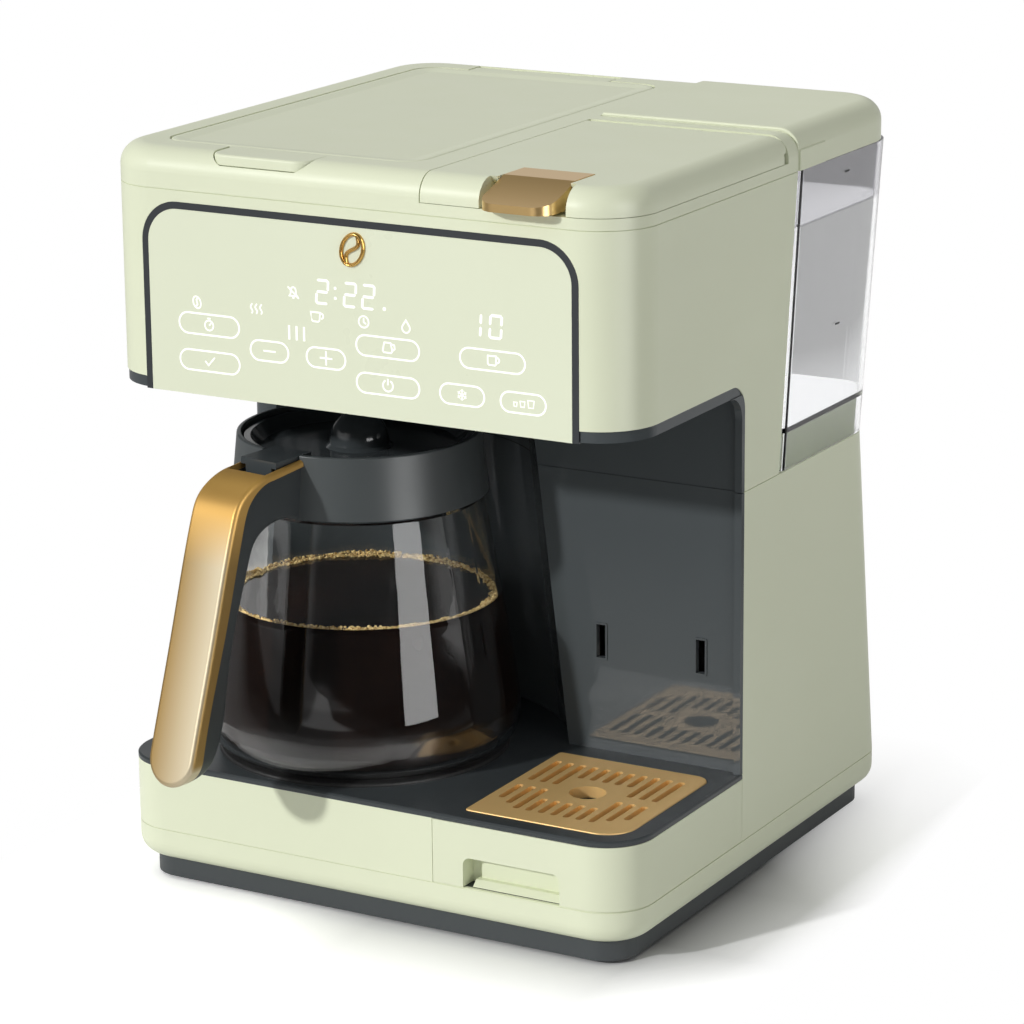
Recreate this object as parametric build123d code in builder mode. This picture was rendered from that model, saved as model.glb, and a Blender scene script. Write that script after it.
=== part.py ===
from build123d import *
import os
from math import sqrt, tan, radians, sin, cos

# Dual coffee maker: a carafe bay on the left, a single-cup bay on the right,
# brew lid, pod lid and a lift-out water tank on top.
# X to the right, Y to the back, Z up. The origin is on the floor below the
# centre of the hood. All sizes in millimetres.

# Overall body
body_width = 285.0
body_depth = 293.0
hood_corner = 29.0
base_corner = 25.0
housing_wall = 2.5
waist_inset = 23.7          # how far the rear face comes in at the waist
base_rear_inset = 1.8

# Heights, stacked from the floor
foot_height = 2.0
plinth_height = 10.5
band_height = 17.0
skirt_height = 32.2
deck_thickness = 2.7
lower_column_height = 141.3
upper_column_height = 48.4
liner_edge = 5.4            # dark edge below the green hood
hood_height = 91.5
pod_ring_height = 5.7       # cover ring below the pod lid
cover_height = 19.0
tank_lid_rise = 1.5

# Plinth, band and feet
plinth_inset = 8.6
band_edge_radius = 9.0
foot_radius = 9.0
foot_spread_x = 95.0
foot_spread_y = 105.0
chassis_thickness = 2.5

# Bays
bay_depth = 118.5           # from the front to the wall behind both bays
trim_depth = 3.0
trim_width = 3.7
liner_wall = 3.0
left_column_corner = 20.0
bay_corner = 13.0
liner_corner = 12.0
recess_radius = 102.0       # carafe recess, at the deck
recess_draft = 6.08         # degrees, the recess narrows upwards

# Carafe
carafe_side = 95.9          # carafe axis from the left side
carafe_reach = 77.1         # carafe axis behind the front
handle_angle = -98.0        # degrees, seen from above
glass_radius = 77.8
glass_shoulder_radius = 60.4
carafe_headroom = 62.3      # shoulder of the glass up to the hood
glass_wall = 2.5
glass_base_round = 13.0
glass_neck_radius = 57.0
neck_height = 20.0
collar_base_radius = 63.0
collar_top_radius = 59.8
collar_height = 30.6
collar_inner_clearance = 0.3
carafe_lift = 0.3
collar_seat = 2.5           # gap between the shoulder and the collar

# Carafe lid and thumb lever
lid_gap = 1.1
dome_radius = 14.6
dome_height = 19.5
lid_inlet_radius = 4.5      # where the coffee drips in, at the top of the dome
lever_width = 22.0
lever_reach = 75.0
lever_thickness = 3.2
lid_pin_radius = 1.2
lid_pin_reach = 62.0
lid_pin_drop = 6.0          # pin below the rim of the collar
lever_ear = 4.0

# Handle
handle_width = 28.0
handle_core_width = 25.6
cover_edge_radius = 2.2
core_edge_radius = 1.6
handle_reach = 147.0
handle_tip_rise = 14.0
lever_slot_end = 84.0

# Warming plate
plate_radius = 72.7
plate_rise = 1.6
plate_boss_radius = 65.0
heater_thickness = 6.0
heater_radius = 48.0
heater_bore_radius = 38.0

# Cup bay: hook slots, grate and drawer
slot_width = 4.9
slot_height = 17.0
slot_z = 120.5
slot_left_x = 65.0
slot_pitch = 54.6
slot_bezel = 1.0
slot_bezel_rise = 0.5
grate_left_margin = 12.0    # from the seam of the drawer
grate_right_margin = 9.3
grate_front_margin = 10.3
grate_back_margin = 14.0
grate_thickness = 1.7
grate_seat = 1.2            # depth of the seat in the deck
grate_ledge = 4.0
grate_big_corner = 15.0
grate_back_corner = 8.0
grate_small_corner = 2.0
grate_slot_width = 3.4
grate_slot_margin = 8.15
grate_slot_columns = 11
grate_hole_radius = 9.0
lip_wall = 0.8
lip_depth = 2.6
hole_lip_depth = 4.0
drawer_seam_x = 37.3
drawer_gap = 0.3
drawer_floor = 1.5
pull_left = 54.0
pull_right = 106.0
pull_height = 15.3
pull_corner = 4.0
pull_depth = 9.0
pull_wall = 1.6
pull_step = 5.5             # the panel and the ledge in the pull start this far in
pull_panel_rise = 1.2
pull_ledge_height = 3.2
pull_ledge_front = 2.6
tray_wall = 1.8
tray_corner = 10.0

# Control panel
panel_margin = 28.5         # from the sides of the body
panel_top_corner = 16.5
panel_height = 88.6
panel_thickness = 3.0
panel_below_liner = 0.5
panel_trim = 3.5
trim_recess = 0.6
panel_frame_band = 5.5
board_thickness = 1.6
board_standoff = 2.4
display_centre_x = -5.0
display_width = 54.0
display_height = 24.0
display_rise = 46.0         # above the bottom of the panel

# Water tank
tank_left_x = 35.3          # left side of the tank bay
tank_front_y = 9.6          # front of the tank bay, at the waist
tank_lean = 0.1232          # how far it leans back for each mm of height
tank_side_gap = 0.7
tank_front_gap = 1.2
tank_wall = 2.5
tank_corner = 6.0
tank_rear_corner = 25.0
tank_floor_rise = 18.3
tank_floor = 2.5
pedestal_gap = 1.0
tank_valve_inset = 42.5     # from the right side
tank_valve_reach = 40.4     # from the front of the tank bay
valve_hole_radius = 5.0
valve_stem_radius = 3.4
tank_lid_roof = 3.0
tank_lid_edge_radius = 1.0  # at the front and left edges of its top
tank_hinge_left = 16.0
tank_hinge_right = 30.0
side_pad_length = 28.5
side_pad_height = 10.3
side_pad_rise = 0.8

# Top cover and lids
top_edge_radius = 11.0
cover_roof = 3.0
lid_clearance = 0.6
lid_rear_gap = 1.4          # room for the rear edge as the brew lid swings
brew_left_margin = 21.8
brew_right = 20.3
brew_front_margin = 23.0
brew_back_margin = 24.5
brew_corner = 12.0
brew_lid_thickness = 8.0
lid_roof = 2.5
lid_rim = 2.5
ledge_width = 6.0
ledge_thickness = 3.2
knuckle_radius = 4.0
knuckle_drop = 0.2
hinge_pin_radius = 1.5
running_gap = 0.05
brew_hinge_margin = 15.5    # from the rear face
brew_hinge_inset = 26.7
brew_hinge_length = 84.0
lid_edge_radius = 1.2
dish_inset = 3.0
dish_border = 6.0
dish_depth = 0.8
lug_width = 6.0
lug_gap = 0.4
tab_left = -80.0
tab_right = -26.0
tab_reach = 21.0
tab_thickness = 5.0
tab_corner = 8.0
tab_flare = 4.0
tab_wall = 2.0
pod_left = 36.0
pod_hinge_y = 12.5
strip_front_gap = 0.5
pod_wall = 2.5

# Gold latch on the pod lid
latch_width = 36.6
latch_back_reach = 35.0     # from the front face
latch_bend_reach = 16.0
latch_nose_reach = 10.5     # in front of the front face
latch_heel_reach = 7.0      # where the floor of its pocket ends, behind the front face
latch_nose_rise = 1.4       # above the seam of the lid
latch_back_gap = 0.9
latch_grip = 4.0            # finger room beside the latch
latch_nose_height = 5.2
latch_front_corner = 9.0
latch_strip = 3.4
latch_gap = 0.5
latch_pin_radius = 1.0
latch_pin_overhang = 6.0    # at each side of the latch pocket

# Filter basket, pod holder and the works inside
chamber_radius = 62.5
chamber_wall = 2.2
basket_top_radius = 55.5
basket_floor_radius = 30.0
basket_depth = 88.0
basket_wall = 2.0
basket_spout_radius = 9.0
basket_spout_drop = 8.0
stop_stem_radius = 4.0
stop_nose_drop = 2.6
pod_side = 53.5             # pod axis from the right side
pod_reach = 74.5            # pod axis behind the front
pod_holder_radius = 27.0
pod_holder_depth = 50.0
pod_holder_wall = 2.0
pod_carrier_radius = 33.0
spout_radius = 7.0
needle_radius = 1.6
boiler_side = 80.5          # axis from the left side
boiler_rear = 51.5          # axis from the rear face
boiler_radius = 27.0
boiler_height = 92.0
pump_side = 46.5            # axis from the right side
pump_gap = 1.9              # between the pump and the carafe recess
pump_radius = 21.0
pump_band = 3.5
pump_length = 68.0
hose_radius = 4.0
hose_bore = 2.5
inlet_side = 38.5           # from the left side
inlet_z = 46.0
inlet_radius = 8.0
board_height = 6.0
board_coil_height = 16.4
board_relay_height = 10.4
board_gap_left = 25.0       # between the boiler and the power board
board_gap_right = 5.0
board_gap_front = 30.4
board_gap_rear = 20.5

# Seams
seam_height = 0.4
seam_depth = 0.5

os.makedirs("parts", exist_ok=True)

# Levels and faces that follow from the sizes above
half_width = body_width / 2
front_y = -body_depth / 2
rear_y = body_depth / 2
bay_wall_y = front_y + bay_depth
carafe_x = -half_width + carafe_side
carafe_y = front_y + carafe_reach
pod_x = half_width - pod_side
pod_y = front_y + pod_reach
waist_rear_y = rear_y - waist_inset
base_rear_y = rear_y - base_rear_inset
plinth_top = foot_height + plinth_height
band_top = plinth_top + band_height
skirt_top = band_top + skirt_height
deck_top = skirt_top + deck_thickness
waist_z = deck_top + lower_column_height
liner_bottom = waist_z + upper_column_height
hood_bottom = liner_bottom + liner_edge
cover_seam = hood_bottom + hood_height
pod_seam = cover_seam + pod_ring_height
top_z = cover_seam + cover_height
tank_lid_top = top_z + tank_lid_rise
liner_floor_top = liner_bottom + liner_wall
inlet_x = -half_width + inlet_side


def block(x, y, z):
    """Box between two limits on each axis."""
    with BuildPart() as solid:
        with Locations(((x[0] + x[1]) / 2, (y[0] + y[1]) / 2, (z[0] + z[1]) / 2)):
            Box(x[1] - x[0], y[1] - y[0], z[1] - z[0])
    return solid.part


def outline(height, x, y, radius):
    """Rounded rectangle seen from above, at a height."""
    with BuildSketch(Plane.XY.offset(height)) as shape:
        with Locations(((x[0] + x[1]) / 2, (y[0] + y[1]) / 2)):
            Rectangle(x[1] - x[0], y[1] - y[0])
        fillet(shape.vertices(), radius)
    return shape.sketch


def side_profile(points, x):
    """Prism with a polygon in Y and Z, between two X limits."""
    with BuildPart() as prism:
        with BuildSketch(Plane.YZ.offset(x[0])):
            with BuildLine():
                Polyline(*points, close=True)
            make_face()
        extrude(amount=x[1] - x[0])
    return prism.part


def rod_along_x(x, y, z, radius):
    """Round bar along X."""
    with BuildPart() as rod:
        with BuildSketch(Plane.YZ.offset(x[0])):
            with Locations((y, z)):
                Circle(radius)
        extrude(amount=x[1] - x[0])
    return rod.part


def ring(centre, z, outer, inner):
    """Upright tube, or a disc where the inner radius is nothing."""
    with BuildPart() as tube:
        with BuildSketch(Plane.XY.offset(z[0])):
            with Locations(centre):
                Circle(outer)
                if inner > 0:
                    Circle(inner, mode=Mode.SUBTRACT)
        extrude(amount=z[1] - z[0])
    return tube.part


def turned(centre, points):
    """Solid of revolution about an upright axis, from radius and height pairs."""
    axis_plane = Plane(origin=(centre[0], centre[1], 0), x_dir=(1, 0, 0), z_dir=(0, -1, 0))
    with BuildPart() as solid:
        with BuildSketch(axis_plane):
            with BuildLine():
                Polyline(*points, close=True)
            make_face()
        revolve(axis=Axis((centre[0], centre[1], 0), (0, 0, 1)))
    return solid.part


def save(piece, name):
    """Label a finished piece and write its file."""
    piece.label = name
    export_step(piece, f"parts/{name}.step")


# Feet and plinth

with BuildPart() as foot_pads:
    with BuildSketch():
        with GridLocations(2 * foot_spread_x, 2 * foot_spread_y, 2, 2):
            Circle(foot_radius)
    extrude(amount=foot_height)
save(foot_pads.part, "foot_pads")

plinth_x = (-half_width + plinth_inset, half_width - plinth_inset)
plinth_y = (front_y + plinth_inset, base_rear_y - plinth_inset)
plinth_corner = base_corner - plinth_inset
with BuildPart() as base_plinth:
    extrude(outline(foot_height, plinth_x, plinth_y, plinth_corner), amount=plinth_height)
    extrude(
        outline(
            foot_height + housing_wall,
            (plinth_x[0] + housing_wall, plinth_x[1] - housing_wall),
            (plinth_y[0] + housing_wall, plinth_y[1] - housing_wall),
            plinth_corner - housing_wall,
        ),
        amount=plinth_height,
        mode=Mode.SUBTRACT,
    )
save(base_plinth.part, "base_plinth")


def seam_groove(z, back_y, corner):
    """Shallow groove around the body, from a height upwards."""
    with BuildPart() as groove:
        extrude(
            outline(z, (-half_width - 1, half_width + 1), (front_y - 1, back_y + 1), corner + 1),
            amount=seam_height,
        )
        extrude(
            outline(
                z,
                (-half_width + seam_depth, half_width - seam_depth),
                (front_y + seam_depth, back_y - seam_depth),
                corner - seam_depth,
            ),
            amount=seam_height,
            mode=Mode.SUBTRACT,
        )
    return groove.part


# Lower band: a tray with a rounded bottom edge

def band_block(inset):
    """Band with a rounded bottom edge, inset from its outer faces."""
    sides = (-half_width + inset, half_width - inset)
    depth = (front_y + inset, base_rear_y - inset)
    with BuildPart() as solid:
        extrude(outline(plinth_top + inset, sides, depth, base_corner - inset), amount=band_height)
        fillet(solid.faces().sort_by(Axis.Z)[0].edges(), band_edge_radius - inset)
    return solid.part


with BuildPart() as lower_band:
    add(band_block(0))
    add(band_block(housing_wall), mode=Mode.SUBTRACT)
    add(seam_groove(band_top - seam_height, base_rear_y, base_corner), mode=Mode.SUBTRACT)
save(lower_band.part, "lower_band")

# Chassis plate on four posts, which carries the works and the drawer

chassis_top = band_top
with BuildPart() as chassis_plate:
    extrude(
        outline(
            chassis_top - chassis_thickness,
            (-half_width + housing_wall + drawer_gap, half_width - housing_wall - drawer_gap),
            (front_y + housing_wall + drawer_gap, base_rear_y - housing_wall - drawer_gap),
            base_corner - housing_wall,
        ),
        amount=chassis_thickness,
    )
    with BuildSketch(Plane.XY.offset(plinth_top + housing_wall)):
        with GridLocations(2 * foot_spread_x, 2 * foot_spread_y, 2, 2):
            Circle(foot_radius)
    extrude(amount=chassis_top - chassis_thickness - plinth_top - housing_wall)
save(chassis_plate.part, "chassis_plate")


def lower_loft(inset):
    """Lower housing block, inset from its outer faces, tapering to the waist."""
    sides = (-half_width + inset, half_width - inset)
    low = outline(band_top, sides, (front_y + inset, base_rear_y - inset), base_corner - inset)
    high = outline(waist_z, sides, (front_y + inset, waist_rear_y - inset), base_corner - inset)
    with BuildPart() as solid:
        loft([low, high], ruled=True)
    return solid.part


# Lower housing: side walls, rear wall and the front skirt left of the drawer

skirt_end_x = drawer_seam_x
with BuildPart() as lower_housing:
    add(lower_loft(0))
    add(lower_loft(housing_wall), mode=Mode.SUBTRACT)
    add(
        block((-half_width - 1, half_width + 1), (front_y - 1, bay_wall_y), (skirt_top, waist_z + 1)),
        mode=Mode.SUBTRACT,
    )
    add(
        block(
            (-half_width - 1, -half_width + housing_wall + 1),
            (bay_wall_y - 1, bay_wall_y + left_column_corner),
            (skirt_top, waist_z + 1),
        ),
        mode=Mode.SUBTRACT,
    )
    add(
        block((skirt_end_x, half_width + 1), (front_y - 1, bay_wall_y), (band_top - 1, waist_z)),
        mode=Mode.SUBTRACT,
    )
    with BuildSketch(Plane.XZ.offset(-base_rear_y - 5)):
        with Locations((inlet_x, inlet_z)):
            Circle(inlet_radius)
    extrude(amount=15, mode=Mode.SUBTRACT)
save(lower_housing.part, "lower_housing")


recess_back_y = carafe_y + recess_radius + liner_wall


def recess_cone(extra, z):
    """Cone of the carafe recess between two heights, with extra radius."""
    low = recess_radius - (z[0] - deck_top) * tan(radians(recess_draft)) + extra
    high = recess_radius - (z[1] - deck_top) * tan(radians(recess_draft)) + extra
    return turned((carafe_x, carafe_y), [(0, z[0]), (low, z[0]), (high, z[1]), (0, z[1])])


def column_front(z, inset):
    """Front block of the column, with its rounded left corner."""
    depth = recess_back_y + 1
    side = half_width - housing_wall - 0.2
    face_y = bay_wall_y + inset
    turn_y = bay_wall_y + left_column_corner
    right = side if inset == 0 else side + 1
    left = side if inset == 0 else side + 1
    reach = 0 if inset == 0 else 1
    with BuildPart() as solid:
        with BuildSketch(Plane.XY.offset(z[0])):
            with BuildLine():
                Polyline(
                    (-half_width + inset, turn_y),
                    (-left, turn_y),
                    (-left, depth + reach),
                    (right, depth + reach),
                    (right, face_y),
                    (-half_width + left_column_corner, face_y),
                )
                RadiusArc(
                    (-half_width + left_column_corner, face_y),
                    (-half_width + inset, turn_y),
                    left_column_corner - inset,
                )
            make_face()
        extrude(amount=z[1] - z[0])
    return solid.part


def column_wall(z):
    """Wall behind the bays: flat on the right, hollowed for the carafe on the left."""
    with BuildPart() as inside:
        add(column_front((z[0] - 1, z[1] + 1), liner_wall))
        add(recess_cone(liner_wall, (z[0] - 2, z[1] + 2)), mode=Mode.SUBTRACT)
    with BuildPart() as wall:
        add(column_front(z, 0))
        add(recess_cone(0, (z[0] - 1, z[1] + 1)), mode=Mode.SUBTRACT)
        add(inside.part, mode=Mode.SUBTRACT)
        add(
            block(
                (half_width - trim_width, half_width),
                (bay_wall_y - trim_depth, bay_wall_y),
                z,
            )
        )
    return wall.part


with BuildPart() as lower_liner:
    add(column_wall((deck_top, waist_z)))
    with BuildSketch(Plane.XZ.offset(-bay_wall_y)):
        with Locations((slot_left_x, slot_z), (slot_left_x + slot_pitch, slot_z)):
            RectangleRounded(slot_width + 2 * slot_bezel, slot_height + 2 * slot_bezel, slot_bezel)
    extrude(amount=slot_bezel_rise)
    with BuildSketch(Plane.XZ.offset(-bay_wall_y - liner_wall - 1)):
        with Locations((slot_left_x, slot_z), (slot_left_x + slot_pitch, slot_z)):
            Rectangle(slot_width, slot_height)
    extrude(amount=liner_wall + trim_depth + 2, mode=Mode.SUBTRACT)
save(lower_liner.part, "lower_liner")

# Deck, with the seat of the grate and the hole of the warming plate

grate_left = drawer_seam_x + grate_left_margin
grate_right = half_width - grate_right_margin
grate_front = front_y + grate_front_margin
grate_back = bay_wall_y - grate_back_margin
seat_z = deck_top - grate_seat


def grate_outline(height, grow):
    """Outline of the grate: one large, one medium and two small corners."""
    with BuildSketch(Plane.XY.offset(height)) as shape:
        with Locations(((grate_left + grate_right) / 2, (grate_front + grate_back) / 2)):
            Rectangle(grate_right - grate_left + 2 * grow, grate_back - grate_front + 2 * grow)
        corners = shape.vertices()
        right = corners.sort_by(Axis.X)[2:]
        left = corners.sort_by(Axis.X)[:2]
        fillet(right.sort_by(Axis.Y)[0], grate_big_corner + grow)
        fillet(shape.vertices().sort_by(Axis.Y)[-2:].sort_by(Axis.X)[-1], grate_back_corner + grow)
        fillet(shape.vertices().sort_by(Axis.X)[:2], grate_small_corner + max(grow, 0))
    return shape.sketch


with BuildPart() as deck:
    extrude(
        outline(skirt_top, (-half_width, half_width), (front_y, base_rear_y), base_corner),
        amount=deck_thickness,
    )
    chamfer(deck.faces().sort_by(Axis.Z)[-1].edges().sort_by(Axis.Y)[0], 0.8)
    add(
        block(
            (-half_width - 1, half_width + 1),
            (recess_back_y + 1, base_rear_y + 1),
            (skirt_top - 1, deck_top + 1),
        ),
        mode=Mode.SUBTRACT,
    )
    add(
        block(
            (half_width - housing_wall - 0.2, half_width + 1),
            (bay_wall_y, rear_y),
            (skirt_top - 1, deck_top + 1),
        ),
        mode=Mode.SUBTRACT,
    )
    add(
        block(
            (-half_width - 1, -half_width + housing_wall + 0.2),
            (bay_wall_y + left_column_corner, rear_y),
            (skirt_top - 1, deck_top + 1),
        ),
        mode=Mode.SUBTRACT,
    )
    extrude(grate_outline(seat_z, lug_gap), amount=grate_seat + 1, mode=Mode.SUBTRACT)
    extrude(grate_outline(skirt_top - 1, -grate_ledge), amount=deck_thickness + 2, mode=Mode.SUBTRACT)
    add(ring((carafe_x, carafe_y), (skirt_top - 1, deck_top + 1), plate_boss_radius + lug_gap, 0),
        mode=Mode.SUBTRACT)
save(deck.part, "deck")

# Warming plate and its heater

plate_top = deck_top + plate_rise
with BuildPart() as warming_plate:
    add(ring((carafe_x, carafe_y), (deck_top, plate_top), plate_radius, 0))
    fillet(warming_plate.faces().sort_by(Axis.Z)[-1].edges(), plate_rise * 0.6)
    add(ring((carafe_x, carafe_y), (skirt_top - 2, deck_top), plate_boss_radius, 0))
save(warming_plate.part, "warming_plate")

heater_top = skirt_top - 2
with BuildPart() as warming_heater:
    add(ring((carafe_x, carafe_y), (heater_top - heater_thickness, heater_top),
             heater_radius, heater_bore_radius))
save(warming_heater.part, "warming_heater")

# Drawer: green wrap-round front with its finger pull, and the drip tray in it

drawer_x = (drawer_seam_x + drawer_gap, half_width)
drawer_y = (front_y, bay_wall_y - drawer_gap)
drawer_z = (band_top + drawer_gap, skirt_top - drawer_gap)
pull_back_y = front_y + housing_wall + pull_depth - pull_wall
pull_panel_x = (pull_left + pull_step, pull_right)
pull_panel_top = band_top + pull_height - 0.8
with BuildPart() as drawer_front:
    add(lower_loft(0))
    add(lower_loft(housing_wall), mode=Mode.SUBTRACT)
    add(
        block(
            (drawer_x[0], half_width - housing_wall),
            (front_y + housing_wall, drawer_y[1]),
            (drawer_z[0], drawer_z[0] + drawer_floor),
        )
    )
    add(lower_loft(0), mode=Mode.INTERSECT)
    add(block((drawer_x[0], half_width + 1), (front_y - 1, drawer_y[1]), drawer_z), mode=Mode.INTERSECT)
    add(
        block(
            (pull_left - pull_wall, pull_right + pull_wall),
            (front_y + 1, front_y + housing_wall + pull_depth),
            (drawer_z[0], band_top + pull_height + pull_wall),
        )
    )
    with BuildSketch(Plane.XZ.offset(-front_y + 1)) as pull_shape:
        with Locations(((pull_left + pull_right) / 2, band_top + pull_height / 2)):
            Rectangle(pull_right - pull_left, pull_height)
        fillet(pull_shape.vertices().sort_by(Axis.Y)[-2:], pull_corner)
    extrude(amount=-(housing_wall + pull_depth - pull_wall + 1), mode=Mode.SUBTRACT)
    with BuildSketch(Plane.XZ.offset(-pull_back_y)) as pull_panel:
        with Locations(((pull_panel_x[0] + pull_panel_x[1]) / 2, (drawer_z[0] + pull_panel_top) / 2)):
            Rectangle(pull_panel_x[1] - pull_panel_x[0], pull_panel_top - drawer_z[0])
        fillet(pull_panel.vertices().sort_by(Axis.Y)[-2:], pull_corner)
    extrude(amount=pull_panel_rise)
    add(
        side_profile(
            [
                (front_y + pull_ledge_front, drawer_z[0]),
                (front_y + pull_ledge_front + pull_ledge_height, band_top + pull_ledge_height),
                (pull_back_y, band_top + pull_ledge_height),
                (pull_back_y, drawer_z[0]),
            ],
            (pull_left + pull_step - 1.5, pull_right),
        )
    )
save(drawer_front.part, "drawer_front")

tray_x = (grate_left - 3, grate_right + 3)
tray_y = (front_y + housing_wall + pull_depth + 0.3, grate_back + 3)
tray_z = (drawer_z[0] + drawer_floor, seat_z - hole_lip_depth - 0.5)
with BuildPart() as drip_tray:
    extrude(outline(tray_z[0], tray_x, tray_y, tray_corner), amount=tray_z[1] - tray_z[0])
    extrude(
        outline(
            tray_z[0] + tray_wall,
            (tray_x[0] + tray_wall, tray_x[1] - tray_wall),
            (tray_y[0] + tray_wall, tray_y[1] - tray_wall),
            tray_corner - tray_wall,
        ),
        amount=tray_z[1],
        mode=Mode.SUBTRACT,
    )
save(drip_tray.part, "drip_tray")

# Grate: slots with turned-down lips and a flanged finger hole

grate_centre_y = (grate_front + grate_back) / 2
hole_centre = ((grate_left + grate_right) / 2 - 1.3, grate_centre_y + 0.5)
slot_half = grate_slot_columns // 2
grate_slot_pitch = (grate_right - grate_left - 2 * grate_slot_margin) / (grate_slot_columns - 1)


def slot_list():
    """Centre and length of each grate slot, row by row."""
    slots = []
    for column in range(grate_slot_columns):
        x = hole_centre[0] + (column - slot_half) * grate_slot_pitch
        outer = column < slot_half - 2 or column > slot_half + 2
        back_start = grate_back - 12.4
        back_end = back_start - (31.0 if outer else 18.0)
        front_start = grate_centre_y - (3.9 if outer else 16.4)
        steps = min(column, grate_slot_columns - 1 - column)
        front_end = grate_front + 12.1 + max(0, 2 - steps) * 5.2
        for start, end in ((back_start, back_end), (front_start, front_end)):
            slots.append((x, (start + end) / 2, start - end))
    return slots


with BuildPart() as cup_grate:
    extrude(grate_outline(seat_z, 0), amount=grate_thickness)
    fillet(cup_grate.faces().sort_by(Axis.Z)[-1].edges(), 0.6)
    for x, y, length in slot_list():
        with BuildSketch(Plane.XY.offset(seat_z - lip_depth)):
            with Locations((x, y)):
                SlotOverall(length + 2 * lip_wall, grate_slot_width + 2 * lip_wall, rotation=90)
        extrude(amount=lip_depth)
    add(ring(hole_centre, (seat_z - hole_lip_depth, seat_z), grate_hole_radius + lip_wall, 0))
    for x, y, length in slot_list():
        with BuildSketch(Plane.XY.offset(seat_z - lip_depth - 1)):
            with Locations((x, y)):
                SlotOverall(length, grate_slot_width, rotation=90)
        extrude(amount=lip_depth + grate_thickness + 2, mode=Mode.SUBTRACT)
    add(
        ring(hole_centre, (seat_z - hole_lip_depth - 1, deck_top + 5), grate_hole_radius, 0),
        mode=Mode.SUBTRACT,
    )
save(cup_grate.part, "cup_grate")


def bay_y(z):
    """Front of the tank bay at a height."""
    return tank_front_y + tank_lean * (z - waist_z)


def hood_rear(z):
    """Rear face of the upper housing at a height."""
    return waist_rear_y + waist_inset * (z - waist_z) / (cover_seam - waist_z)


def hood_loft(inset):
    """Upper housing block, inset from its outer faces."""
    sides = (-half_width + inset, half_width - inset)
    low = outline(waist_z, sides, (front_y + inset, waist_rear_y - inset), hood_corner - inset)
    high = outline(cover_seam, sides, (front_y + inset, rear_y - inset), hood_corner - inset)
    with BuildPart() as solid:
        loft([low, high], ruled=True)
    return solid.part


# Upper housing: the hood shell, open above the bays, with the tank bay walls

panel_width = body_width - 2 * panel_margin
trim_half = panel_width / 2 + panel_trim
trim_top = liner_bottom - panel_below_liner + panel_height + panel_trim
trim_corner = panel_top_corner + panel_trim
with BuildPart() as upper_housing:
    add(hood_loft(0))
    add(hood_loft(housing_wall), mode=Mode.SUBTRACT)
    with BuildSketch(Plane.YZ.offset(half_width - trim_width - 5)) as bay_side:
        with Locations(((front_y - 5 + bay_wall_y) / 2, (waist_z - 5 + hood_bottom) / 2)):
            Rectangle(bay_wall_y - front_y + 5, hood_bottom - waist_z + 5)
        fillet(bay_side.vertices().sort_by(Axis.Y)[-2:].sort_by(Axis.X)[-1], bay_corner)
    extrude(amount=trim_width + 6, mode=Mode.SUBTRACT)
    add(
        block(
            (-half_width - 1, half_width - trim_width),
            (front_y - 1, bay_wall_y + liner_wall + 0.2),
            (waist_z - 1, hood_bottom),
        ),
        mode=Mode.SUBTRACT,
    )
    add(
        block(
            (-half_width - 1, -half_width + left_column_corner),
            (bay_wall_y - 1, bay_wall_y + left_column_corner),
            (waist_z - 1, liner_bottom),
        ),
        mode=Mode.SUBTRACT,
    )
    with BuildSketch(Plane.XZ.offset(-front_y + 1)) as panel_hole:
        with Locations((0, (hood_bottom - 5 + trim_top) / 2)):
            Rectangle(2 * trim_half, trim_top - hood_bottom + 5)
        fillet(panel_hole.vertices().sort_by(Axis.Y)[-2:], trim_corner)
    extrude(amount=-(housing_wall + 3), mode=Mode.SUBTRACT)
    add(
        side_profile(
            [
                (bay_y(waist_z - 1), waist_z - 1),
                (rear_y + 5, waist_z - 1),
                (rear_y + 5, cover_seam + 1),
                (bay_y(cover_seam + 1), cover_seam + 1),
            ],
            (tank_left_x, half_width + 1),
        ),
        mode=Mode.SUBTRACT,
    )
    add(
        side_profile(
            [
                (bay_y(waist_z) - housing_wall, waist_z),
                (bay_y(waist_z), waist_z),
                (bay_y(cover_seam), cover_seam),
                (bay_y(cover_seam) - housing_wall, cover_seam),
            ],
            (tank_left_x - housing_wall, half_width),
        )
    )
    add(
        side_profile(
            [
                (bay_y(waist_z) - housing_wall, waist_z),
                (hood_rear(waist_z), waist_z),
                (hood_rear(cover_seam), cover_seam),
                (bay_y(cover_seam) - housing_wall, cover_seam),
            ],
            (tank_left_x - housing_wall, tank_left_x),
        )
    )
    add(seam_groove(waist_z, waist_rear_y, hood_corner), mode=Mode.SUBTRACT)
save(upper_housing.part, "upper_housing")

# Upper liner: underside of the hood and the upper part of the bay wall

spout_hole_radius = spout_radius + 2
stop_hole_radius = 20.0
panel_back_y = front_y + trim_recess + panel_thickness
with BuildPart() as under_hood:
    extrude(
        outline(
            liner_bottom,
            (-half_width + trim_recess, half_width - trim_recess),
            (front_y + trim_recess, waist_rear_y),
            hood_corner - trim_recess,
        ),
        amount=liner_edge,
    )
    extrude(
        outline(
            liner_floor_top,
            (-half_width + housing_wall + 0.2, half_width - housing_wall - 0.2),
            (panel_back_y + housing_wall, waist_rear_y + 5),
            hood_corner - housing_wall - panel_thickness,
        ),
        amount=liner_edge,
        mode=Mode.SUBTRACT,
    )
    add(
        block(
            (-trim_half - 0.2, trim_half + 0.2),
            (front_y - 1, panel_back_y),
            (liner_bottom - 1, hood_bottom + 1),
        ),
        mode=Mode.SUBTRACT,
    )
    add(
        block(
            (-half_width - 1, half_width + 1),
            (bay_wall_y + liner_wall, rear_y),
            (liner_bottom - 1, hood_bottom + 1),
        ),
        mode=Mode.SUBTRACT,
    )

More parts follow.
